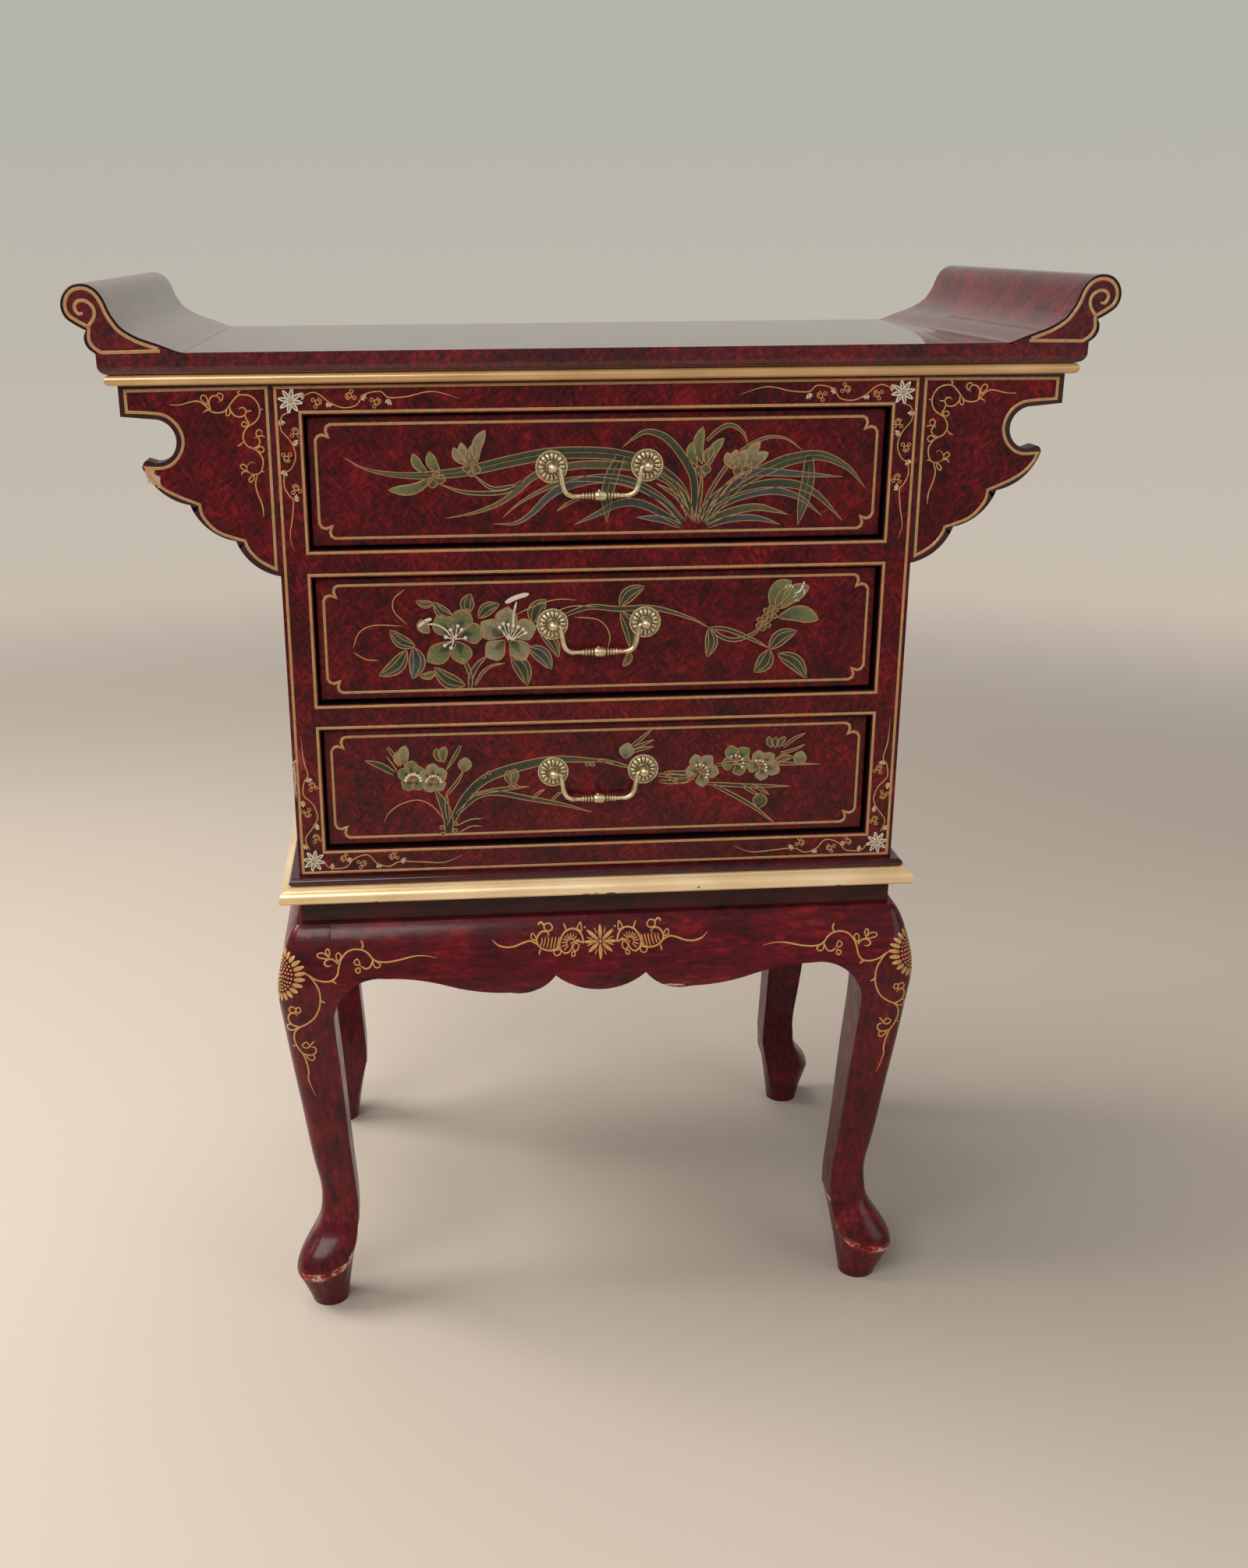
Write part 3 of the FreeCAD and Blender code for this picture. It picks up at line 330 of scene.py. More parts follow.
def brass(name):
    """Pale aged brass, darkened in its hollows by ambient occlusion: partly tarnish, partly painted shade.
    """
    material, tree, shader = new_material(name)
    place = place_of(tree)
    cloud = noise(tree, place, 260.0, 4.0, 0.6)
    bright = ramp(tree, cloud, ((0.3, (0.54, 0.42, 0.22)), (0.7, (0.84, 0.72, 0.47))))
    # Ambient occlusion darkens the hollows between gadroons, rings and lobes: tarnish, and painted shade
    # where light does not reach
    hollow = add_node(tree, "AmbientOcclusion", {"Distance": 0.0026}, samples=8).outputs["AO"]
    tarnish_and_shade = grey_ramp(tree, hollow, ((0.34, 1.0), (0.78, 0.0)))
    connect(tree, shader, {
        "Base Color": blend(tree, tarnish_and_shade, bright, BRASS_TARNISH_AND_SHADE),
        "Roughness": grey_ramp(tree, cloud, ((0.3, 0.30), (0.7, 0.46))),
        "Metallic": 0.9,
        "Normal": bump(tree, noise(tree, place, 900.0), 0.12, FINE_BUMP),
    })
    return material


def wood(name, along):
    """Plain wood whose grain runs along one axis."""
    material, tree, shader = new_material(name)
    place = place_of(tree)
    scales = tuple(1.0 if axis == along else 10.0 for axis in "xyz")
    grain = noise(tree, stretch(tree, place, scales), 24.0, 6.0, 0.62)
    pores = noise(tree, stretch(tree, place, tuple(value * 4 for value in scales)), 60.0, 2.0)
    mixed = weighed(tree, grain, pores, 0.8)
    connect(tree, shader, {
        "Base Color": ramp(tree, mixed, ((0.32, WOOD_SHADE), (0.66, BARE_WOOD))),
        "Roughness": grey_ramp(tree, pores, ((0.3, 0.5), (0.7, 0.7))),
        "Normal": bump(tree, mixed, 0.25),
    })
    return material


def steel(name):
    material, tree, shader = new_material(name)
    cloud = noise(tree, place_of(tree), 500.0, 4.0, 0.6)
    connect(tree, shader, {
        "Base Color": ramp(tree, cloud, ((0.3, (0.20, 0.19, 0.18)), (0.7, (0.42, 0.41, 0.39)))),
        "Roughness": grey_ramp(tree, cloud, ((0.3, 0.32), (0.7, 0.55))),
        "Metallic": 1.0,
        "Normal": bump(tree, cloud, 0.1, FINE_BUMP),
    })
    return material


REVEALS = {"rail": ((UP, 0.5), (DOWN, 0.5)), "left_stile": ((RIGHT, 0.5),), "right_stile": ((LEFT, 0.5),)}
EDGES = tuple((direction, 0.62) for direction in (LEFT, RIGHT, UP, DOWN))

PALETTE = {
    "gold": paint("gold_line_paint", (0.33, 0.165, 0.060), (0.60, 0.345, 0.145), 0.25, 0.38),
    "ochre": paint("gold_vine_paint", (0.42, 0.21, 0.060), (0.74, 0.42, 0.145), 0.2, 0.4),
    "dark": paint("leaf_green_paint", (0.010, 0.015, 0.007), (0.060, 0.070, 0.026)),
    "olive": paint("leaf_olive_paint", (0.030, 0.030, 0.010), (0.125, 0.110, 0.040)),
    "slate": paint("leaf_slate_paint", (0.012, 0.018, 0.018), (0.070, 0.090, 0.088)),
    "green": paint("petal_green_paint", (0.055, 0.058, 0.018), (0.185, 0.190, 0.068)),
    "tan": paint("petal_tan_paint", (0.105, 0.085, 0.040), (0.315, 0.265, 0.150)),
    "white": paint("stamen_white_paint", (0.50, 0.41, 0.31), (0.78, 0.69, 0.56)),
    "chip": paint("chipped_ground", (0.40, 0.26, 0.17), CHIP_PALE, roughness=0.6),
    "rubbed": paint("rubbed_red", (0.14, 0.008, 0.008), CHIP_RED, roughness=0.5),
    "nick": paint("dark_nick", (0.020, 0.006, 0.005), (0.070, 0.020, 0.014), roughness=0.6),
    "black": black_lacquer("black_border_lacquer"),
    "border": paint("dark_border_paint", (0.012, 0.0035, 0.0035), (0.050, 0.0060, 0.0070), roughness=0.3),
}


def dress_cad_nodes():
    """A material for every CAD node, by its name or its name's ending."""
    top = lacquer("top_lacquer", dabs=(0.5, 1.0, 0.8), gloss=0.03, coat=1.0)
    stand = {"stops": STAND_STOPS, "turns": STREAK_TURNS, "fine": 190.0, "gloss": 0.16}
    leg = lacquer("leg_lacquer", dabs=UPRIGHT_STREAKS, level_from=LEVEL_FROM, **stand)
    apron = lacquer("apron_lacquer", dabs=LEVEL_STREAKS, **stand)
    edged = lacquer("wing_lacquer", black=EDGES)
    metal = brass("aged_brass")
    along = {axis: wood("plain_wood_" + axis, axis) for axis in "xyz"}
    screws = steel("screw_steel")
    finish = {
        "top_board": top,
        "left_side_panel": lacquer("left_panel_lacquer", bare=RIGHT),
        "right_side_panel": lacquer("right_panel_lacquer", bare=LEFT),
        "back_panel": lacquer("back_panel_lacquer", bare=FRONT),
        "left_stile": lacquer("left_stile_lacquer", black=REVEALS["left_stile"]),
        "right_stile": lacquer("right_stile_lacquer", black=REVEALS["right_stile"]),
        "top_gold_bead": gold_moulding("top_bead_gold", BEAD_STOPS),
        # The base band's gold carries painted sheen in its colour
        "base_gold_band": gold_moulding("base_band_gold_painted_sheen", BAND_STOPS_WITH_PAINTED_SHEEN),
        "base_red_bead": lacquer(
            "bead_lacquer", PLUM_STOPS, LEVEL_STREAKS, STREAK_TURNS, gloss=0.05, coat=1.0
        ),
        "waist_strips": lacquer("waist_lacquer", WAIST_STOPS, LEVEL_STREAKS, STREAK_TURNS, 150.0),
        "drawer_runners": along["y"],
        "corner_blocks": along["z"],
    }
    endings = {
        "_rail": lacquer("rail_lacquer", black=REVEALS["rail"]),
        "_scroll_end": top,
        "_wing_bracket": edged,
        "_apron": apron,
        "_leg": leg,
        "_drawer_front": lacquer("drawer_front_lacquer", black=EDGES, bare=BACK),
        "_rosettes": metal,
        "_posts": metal,
        "_bail": metal,
        "_nuts": screws,
        "_screws": screws,
        "_drawer_sides": along["y"],
    }
    for name, node in nodes.items():
        by_ending = (material for ending, material in endings.items() if name.endswith(ending))
        node.data.materials.clear()
        node.data.materials.append(finish.get(name, next(by_ending, along["x"])))


# Curves and meshes
CURVE_STEP = 1.6


def between(a, b, c, d, t):
    """The place a share t of the way from b to c, on a smooth curve that also passes a and d."""
    return (
        b * (1 - t) ** 2 * (1 + 2 * t)
        + c * t ** 2 * (3 - 2 * t)
        + (c - a) * 0.5 * t * (1 - t) ** 2
        - (d - b) * 0.5 * t ** 2 * (1 - t)
    )


def spline(points, closed=False, step=CURVE_STEP):
    """Points along a smooth curve through the given ones."""
    given = [Vector(point) for point in points]
    count = len(given)
    spans = count if closed else count - 1
    path = []
    for i in range(spans):
        if closed:
            a, b, c, d = (given[(i + k) % count] for k in (-1, 0, 1, 2))
        else:
            b, c = given[i], given[i + 1]
            a = given[i - 1] if i else b * 2 - c
            d = given[i + 2] if i + 2 < count else c * 2 - b
        pieces = max(2, round((c - b).length / step))
        path += [between(a, b, c, d, k / pieces) for k in range(pieces)]
    if not closed:
        path.append(given[-1])
    return path


def smooth_path(points, closed):
    """As spline, but a point given twice in a row is a corner."""
    cornered = any(tuple(a) == tuple(b) for a, b in zip(points, points[1:]))
    if not cornered:
        return spline(points, closed)
    path, run = [], [points[0]]
    for point in points[1:]:
        if tuple(point) == tuple(run[-1]):
            path += spline(run)[1 if path else 0:]
            run = []
        run.append(point)
    if len(run) > 1:
        path += spline(run)[1:]
    return path[:-1] if closed else path


def edge_normals(path, closed=False):
    """At each point, the sideways direction, longer at a corner so that a band keeps its width there."""
    count = len(path)
    sideways = []
    for i in range(count):
        before = path[i] - path[i - 1] if i or closed else path[1] - path[0]
        after = path[(i + 1) % count] - path[i] if i + 1 < count or closed else before
        first = Vector((-before.y, before.x)).normalized()
        second = Vector((-after.y, after.x)).normalized()
        middle = (first + second).normalized()
        sideways.append(middle / max(0.5, middle.dot(second)))
    return sideways


def shares(path):
    """How far along the path each of its points is, from 0 to 1."""
    return [i / (len(path) - 1) for i in range(len(path))]


def skin_faces(start, rings, count, closed=False):
    """Faces of a skin over rings of points, closed into a loop or capped at both ends."""
    faces = []
    for i in range(rings if closed else rings - 1):
        here, there = start + i * count, start + (i + 1) % rings * count
        for j in range(count):
            k = (j + 1) % count
            faces.append((here + j, here + k, there + k, there + j))
    if not closed:
        faces += [tuple(range(end, end + count)) for end in (start, start + (rings - 1) * count)]
    return faces


def outward_mesh(name, points, faces):
    """A mesh with all its faces turned outwards."""
    mesh = bpy.data.meshes.new(name)
    mesh.from_pydata(points, [], faces)
    solid = bmesh.new()
    solid.from_mesh(mesh)
    bmesh.ops.recalc_face_normals(solid, faces=solid.faces)
    solid.to_mesh(mesh)
    solid.free()
    return mesh


def skinned_mesh(name, skins):
    """A mesh of capped skins, each given by its rings of points."""
    points, faces = [], []
    for rings in skins:
        faces += skin_faces(len(points), len(rings), len(rings[0]))
        points += [spot for ring in rings for spot in ring]
    return outward_mesh(name, points, faces)


def smooth_piece(name, skins, material, crease):
    """A smooth-shaded object, with an edge where its faces turn by more than the crease's angle."""
    mesh = skinned_mesh(name, skins)
    mesh.polygons.foreach_set("use_smooth", [True] * len(mesh.polygons))
    mesh.set_sharp_from_angle(angle=math.radians(crease))
    mesh.materials.append(material)
    return link(bpy.data.objects.new(name, mesh))


# Painted shapes, raised a little from the surface they lie on
LEAF_STEP = 1.5
LEAF_VEIN_WIDTH, LEAF_VEIN_PLACE = 0.8, 0.45
BLADE_STEP = 2.6
BLADE_VEIN_WIDTH = 0.6
SINK = 0.06
LINE_HEIGHT = 0.26
LINE_OVER_FILL = 0.03
LINE_SECTION = ((-1.0, 0.0), (-0.62, 1.0), (0.62, 1.0), (1.0, 0.0))
LINE_TONE = 0.5
LINE_END_RISE = 4
FILL_HEIGHT = 0.10
FILL_LAYER = 0.002
FILL_COLUMNS = (-1.0, -0.8, -0.4, 0.0, 0.4, 0.8, 1.0)
FILL_TONE, FILL_TONE_RISE, FILL_TONE_DIP = 0.15, 0.75, 0.25
LEAST_HALF = 0.12
DOT_CORNERS = 8
DOT_TONE = 0.7


class Canvas:
    """Painted shapes on one surface, that become one mesh. Shapes are drawn in mm."""

    def __init__(self, place, side=1):
        self.place = place
        self.side = side
        self.layer = 0
        self.points, self.tones, self.faces, self.paints = [], [], [], []

    def loft(self, rows, colour, closed=False):
        """A closed skin over rows of (u, v, height, tone)."""
        faces = skin_faces(len(self.points), len(rows), len(rows[0]), closed)
        self.faces += faces
        self.paints += [colour] * len(faces)
        for row in rows:
            for u, v, height, tone in row:
                self.points.append(self.place(u * self.side, v, height))
                self.tones.append(tone)

    def line_height(self):
        """A line lies over all that was painted before it."""
        return max(LINE_HEIGHT, FILL_HEIGHT + FILL_LAYER * self.layer + LINE_OVER_FILL)

    def stroke(self, points, width, colour="gold", closed=False, ends=(1.0, 1.0), sharp=False):
        """A brush line. The ends give the share of the width that is left there."""
        path = [Vector(point) for point in points] if sharp else smooth_path(points, closed)
        top = self.line_height()
        rows = []
        for point, normal, t in zip(path, edge_normals(path, closed), shares(path)):
            left = min(1.0, ends[0] + LINE_END_RISE * t, ends[1] + LINE_END_RISE * (1 - t))
            half = normal * width / 2 * left
            row = []
            for across, raised in LINE_SECTION:
                spot = point + half * across
                row.append((spot.x, spot.y, top * raised - SINK * (1 - raised), LINE_TONE))
            rows.append(row)
        self.loft(rows, colour, closed)

    def fill(self, spine, halves, colour):
        """A filled shape as wide as halves says at each point of its spine, lighter towards its end."""
        self.layer += 1
        lift = FILL_HEIGHT + FILL_LAYER * self.layer
        rows = []
        for point, normal, half, t in zip(spine, edge_normals(spine), halves, shares(spine)):
            row = []
            for across in FILL_COLUMNS:
                spot = point + normal * half * across
                height = -SINK if abs(across) == 1 else lift
                tone = FILL_TONE + FILL_TONE_RISE * t - FILL_TONE_DIP * (1 - abs(across))
                row.append((spot.x, spot.y, height, tone))
            rows.append(row)
        self.loft(rows, colour)

    def outline(self, spine, halves, width, share=1.0):
        """A gold line along each edge of a filled shape, or nearer its spine."""
        normals = edge_normals(spine)
        for side in SIDES:
            edge = [p + n * h * side * share for p, n, h in zip(spine, normals, halves)]
            self.stroke(edge[::2] + edge[-1:], width, ends=(0.6, 0.5))

    def blade(self, spine, width, colour, line, vein):
        """A long grass leaf from its root to its tip."""
        path = spline(spine, step=BLADE_STEP)
        halves = []
        for t in shares(path):
            swell = 0.35 + 0.65 * math.sin(math.pi * min(1, t * 0.9 + 0.1)) ** 0.7
            halves.append(width / 2 * swell * (1 - t ** 6))
        self.fill(path, halves, colour)
        self.outline(path, halves, line)
        if vein:
            self.stroke(path[2:-3:2], line * BLADE_VEIN_WIDTH, ends=(0.4, 0.3))

    def leaf(self, base, tip, width, colour, bend=0.12, veins=True, line=0.95, peak=0.45, full=0.8):
        """A short leaf or petal from its base to its tip, bent sideways by a share of its length."""
        base, tip = Vector(base), Vector(tip)
        along = tip - base
        middle = (base + tip) / 2 + Vector((-along.y, along.x)) * bend
        path = spline((base, middle, tip), step=LEAF_STEP)
        halves = []
        for t in shares(path):
            rise = t / peak if t < peak else (1 - t) / (1 - peak)
            halves.append(max(LEAST_HALF, width / 2 * math.sin(math.pi / 2 * rise) ** full))
        self.fill(path, halves, colour)
        if line:
            self.outline(path, halves, line)
        if veins:
            self.outline(path[1:-2], halves[1:-2], line * LEAF_VEIN_WIDTH, LEAF_VEIN_PLACE)

    def dot(self, u, v, radius, colour="white"):
        top = self.line_height()
        rows = []
        for share, height in ((1.0, -SINK), (0.8, top), (0.4, top * 1.5)):
            corners = circle((u, v), radius * share, DOT_CORNERS)
            rows.append([(spot.x, spot.y, height, DOT_TONE) for spot in corners])
        self.loft(rows, colour)

    def bud(self, u, v, radius, colour, squash=1.15):
        """A round bud with its outline."""
        middle, reach = Vector((u, v)), Vector((radius * 0.2, radius * squash))
        self.leaf(middle - reach, middle + reach, radius * 2, colour, veins=False, peak=0.5, bend=0)

    def build(self, name, body):
        mesh = outward_mesh(name, self.points, self.faces)
        used = sorted(set(self.paints))
        for colour in used:
            mesh.materials.append(PALETTE[colour])
        mesh.polygons.foreach_set("material_index", [used.index(colour) for colour in self.paints])
        mesh.attributes.new("tone", "FLOAT", "POINT").data.foreach_set("value", self.tones)
        piece = link(bpy.data.objects.new(name, mesh))
        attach(piece, body)


def flat_front(y):
    """Places a shape on an upright front face at y, in mm."""
    return lambda u, v, height: Vector((u, y - height, v)) * MM


def surface_of(names):
    """A search tree over some CAD nodes."""
    points, faces = [], []
    for name in names:
        mesh = nodes[name].data
        start = len(points)
        points += [vertex.co.copy() for vertex in mesh.vertices]
        faces += [tuple(start + index for index in face.vertices) for face in mesh.polygons]
    return BVHTree.FromPolygons(points, faces)


def cast_on(tree, corner, across, inward):
    """Places a shape by casting it along a direction on to a surface."""
    corner, across, inward = Vector(corner) * MM, Vector(across).normalized(), Vector(inward).normalized()

    def place(u, v, height):
        start = corner + across * u * MM + Vector((0, 0, v * MM)) - inward
        spot, normal, _, _ = tree.ray_cast(start, inward)
        if spot is None:
            spot, normal, _, _ = tree.find_nearest(start + inward)
        return spot + normal * height * MM

    return place


def cast_from_front(tree):
    return cast_on(tree, (0, 0, 0), RIGHT, BACK)


def front_of(name):
    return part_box(name)[0].y / MM


# Stage, lamps and world
STAGE_FLOOR = (0.52, 0.445, 0.37)
BACKDROP_LOW = (0.58, 0.51, 0.43)
BACKDROP_HIGH = (0.47, 0.465, 0.41)
BEHIND_DEPTH = ((0.50, 0.25), (0.80, 1.0))
BEHIND_SIDE = ((0.36, 0.35), (0.47, 1.0))
BEHIND_RISE = ((0.58, 1.0), (0.66, 0.5))
WORLD_LIGHT = (0.19, 0.194, 0.20)
FLOOR_RADIUS = 3.6
FLOOR_CORNERS = 96
FLOOR_FADE = (1.5, 3.4)
LAMP_AIM = (0.0, 0.0, 0.5)
LAMPS = (
    ("key_softbox", (-1.3, -2.3, 2.5), (2.6, 1.1), 62.0, (1.0, 0.97, 0.93)),
    ("fill_softbox", (2.2, -2.2, 1.5), (1.8, 1.8), 17.0, (0.97, 0.98, 1.0)),
    ("top_softbox", (-0.6, 0.3, 2.8), (2.0, 1.2), 38.0, (1.0, 0.97, 0.93)),
    ("side_softbox", (-2.1, 0.3, 2.0), (1.4, 1.2), 56.0, (1.0, 0.98, 0.95)),
)


def add_stage():
    """A round floor that fades out into the backdrop on every side."""
    mesh = bpy.data.meshes.new("studio_floor")
    points = [(*spot, 0.0) for spot in circle((0.0, 0.0), FLOOR_RADIUS, FLOOR_CORNERS)]
    mesh.from_pydata(points, [], [tuple(range(FLOOR_CORNERS))])
    material, tree, shader = new_material("studio_paper")
    connect(tree, shader, {"Base Color": (*STAGE_FLOOR, 1.0), "Roughness": 0.8})
    away = add_node(tree, "VectorMath", {0: place_of(tree)}, operation="LENGTH").outputs["Value"]
    span = {"Value": away, "From Min": FLOOR_FADE[0], "From Max": FLOOR_FADE[1]}
    fade = add_node(tree, "MapRange", span, interpolation_type="SMOOTHSTEP").outputs["Result"]
    clear = add_node(tree, "BsdfTransparent").outputs["BSDF"]
    mixed = add_node(tree, "MixShader", {0: fade, 1: shader.outputs["BSDF"], 2: clear}).outputs["Shader"]
    connect(tree, tree.nodes["Material Output"], {"Surface": mixed})
    mesh.materials.append(material)
    link(bpy.data.objects.new("studio_floor", mesh))


def add_world():
    """A dim even light. The pale backdrop is for the camera, and for reflections of what is behind."""
    world = bpy.data.worlds.new("studio_world")
    bpy.context.scene.world = world
    world.use_nodes = True
    tree = world.node_tree
    way = add_node(tree, "SeparateXYZ", {"Vector": add_node(tree, "TexCoord").outputs["Generated"]}).outputs
    rise, depth, side = (number(tree, "MULTIPLY_ADD", way[axis], 0.5) for axis in "ZYX")
    backdrop = ramp(tree, rise, ((0.40, BACKDROP_LOW), (0.53, BACKDROP_HIGH)))
    behind = grey_ramp(tree, depth, BEHIND_DEPTH)
    for share, stops in ((side, BEHIND_SIDE), (rise, BEHIND_RISE)):
        behind = number(tree, "MULTIPLY", behind, grey_ramp(tree, share, stops))
    ray = add_node(tree, "LightPath").outputs
    mirrored = number(tree, "MAXIMUM", ray["Is Glossy Ray"], ray["Is Transmission Ray"])
    shown = number(tree, "MAXIMUM", ray["Is Camera Ray"], number(tree, "MULTIPLY", mirrored, behind))
    connect(tree, tree.nodes["Background"], {"Color": blend(tree, shown, WORLD_LIGHT, backdrop)})


def add_lamps():
    for name, place, size, power, colour in LAMPS:
        lamp = bpy.data.lights.new(name, "AREA")
        lamp.shape = "RECTANGLE"
        lamp.size, lamp.size_y = size
        lamp.energy = power
        lamp.color = colour
        holder = link(bpy.data.objects.new(name, lamp))
        holder.location = place
        holder.visible_camera = False
        holder.rotation_euler = (Vector(LAMP_AIM) - Vector(place)).to_track_quat("-Z", "Y").to_euler()


# Gold lines on the face frame, the drawers and the outer edge of the case
LINE_WIDTH = 2.4
CASE_LINE_X, CASE_LINE_BOTTOM, CASE_LINE_TOP = 250.3, 424.4, 822.0
OPENING_LINE_GAP = 2.2
OPENING_X = 230.0
DRAWER_CLEARANCE = 1.3
DRAWER_LINE_INSET = 6.6
DRAWER_LINE_CORNER = ((12.0, 0.0), (9.2, 1.6), (8.2, 5.0), (9.8, 9.4), (5.4, 7.8), (1.9, 8.9), (0.0, 12.0))


def frame_rectangle(canvas, half_width, bottom, top):
    corners = ((half_width, bottom), (half_width, top), (-half_width, top), (-half_width, bottom))
    canvas.stroke(corners, LINE_WIDTH, closed=True, sharp=True)


def drawer_line(low_x, high_x, low_z, high_z):
    """The drawer's inner line: each corner turns in by two arcs that meet in a cusp."""
    loop = []
    turns = ((high_x, high_z, -1, -1), (high_x, low_z, -1, 1), (low_x, low_z, 1, 1), (low_x, high_z, 1, -1))
    for x, z, sign_x, sign_z in turns:
        steps = [(x + sign_x * a, z + sign_z * b) for a, b in DRAWER_LINE_CORNER]
        loop += steps if sign_x == sign_z else steps[::-1]
    return loop


def add_frame_lines():
    canvas = Canvas(flat_front(front_of("left_stile")))
    frame_rectangle(canvas, CASE_LINE_X, CASE_LINE_BOTTOM, CASE_LINE_TOP)
    gap = OPENING_LINE_GAP + DRAWER_CLEARANCE
    for name in DRAWERS:
        low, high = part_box(name + "_drawer_front")
        frame_rectangle(canvas, OPENING_X + OPENING_LINE_GAP, low.z / MM - gap, high.z / MM + gap)
    canvas.build("face_frame_lines", "cabinet")
    inset = DRAWER_LINE_INSET
    for name in DRAWERS:
        low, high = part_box(name + "_drawer_front")
        canvas = Canvas(flat_front(low.y / MM))
        loop = drawer_line(low.x / MM + inset, high.x / MM - inset, low.z / MM + inset, high.z / MM - inset)
        canvas.stroke(loop, LINE_WIDTH, closed=True, sharp=True)
        canvas.build(name + "_drawer_line", name + "_drawer")


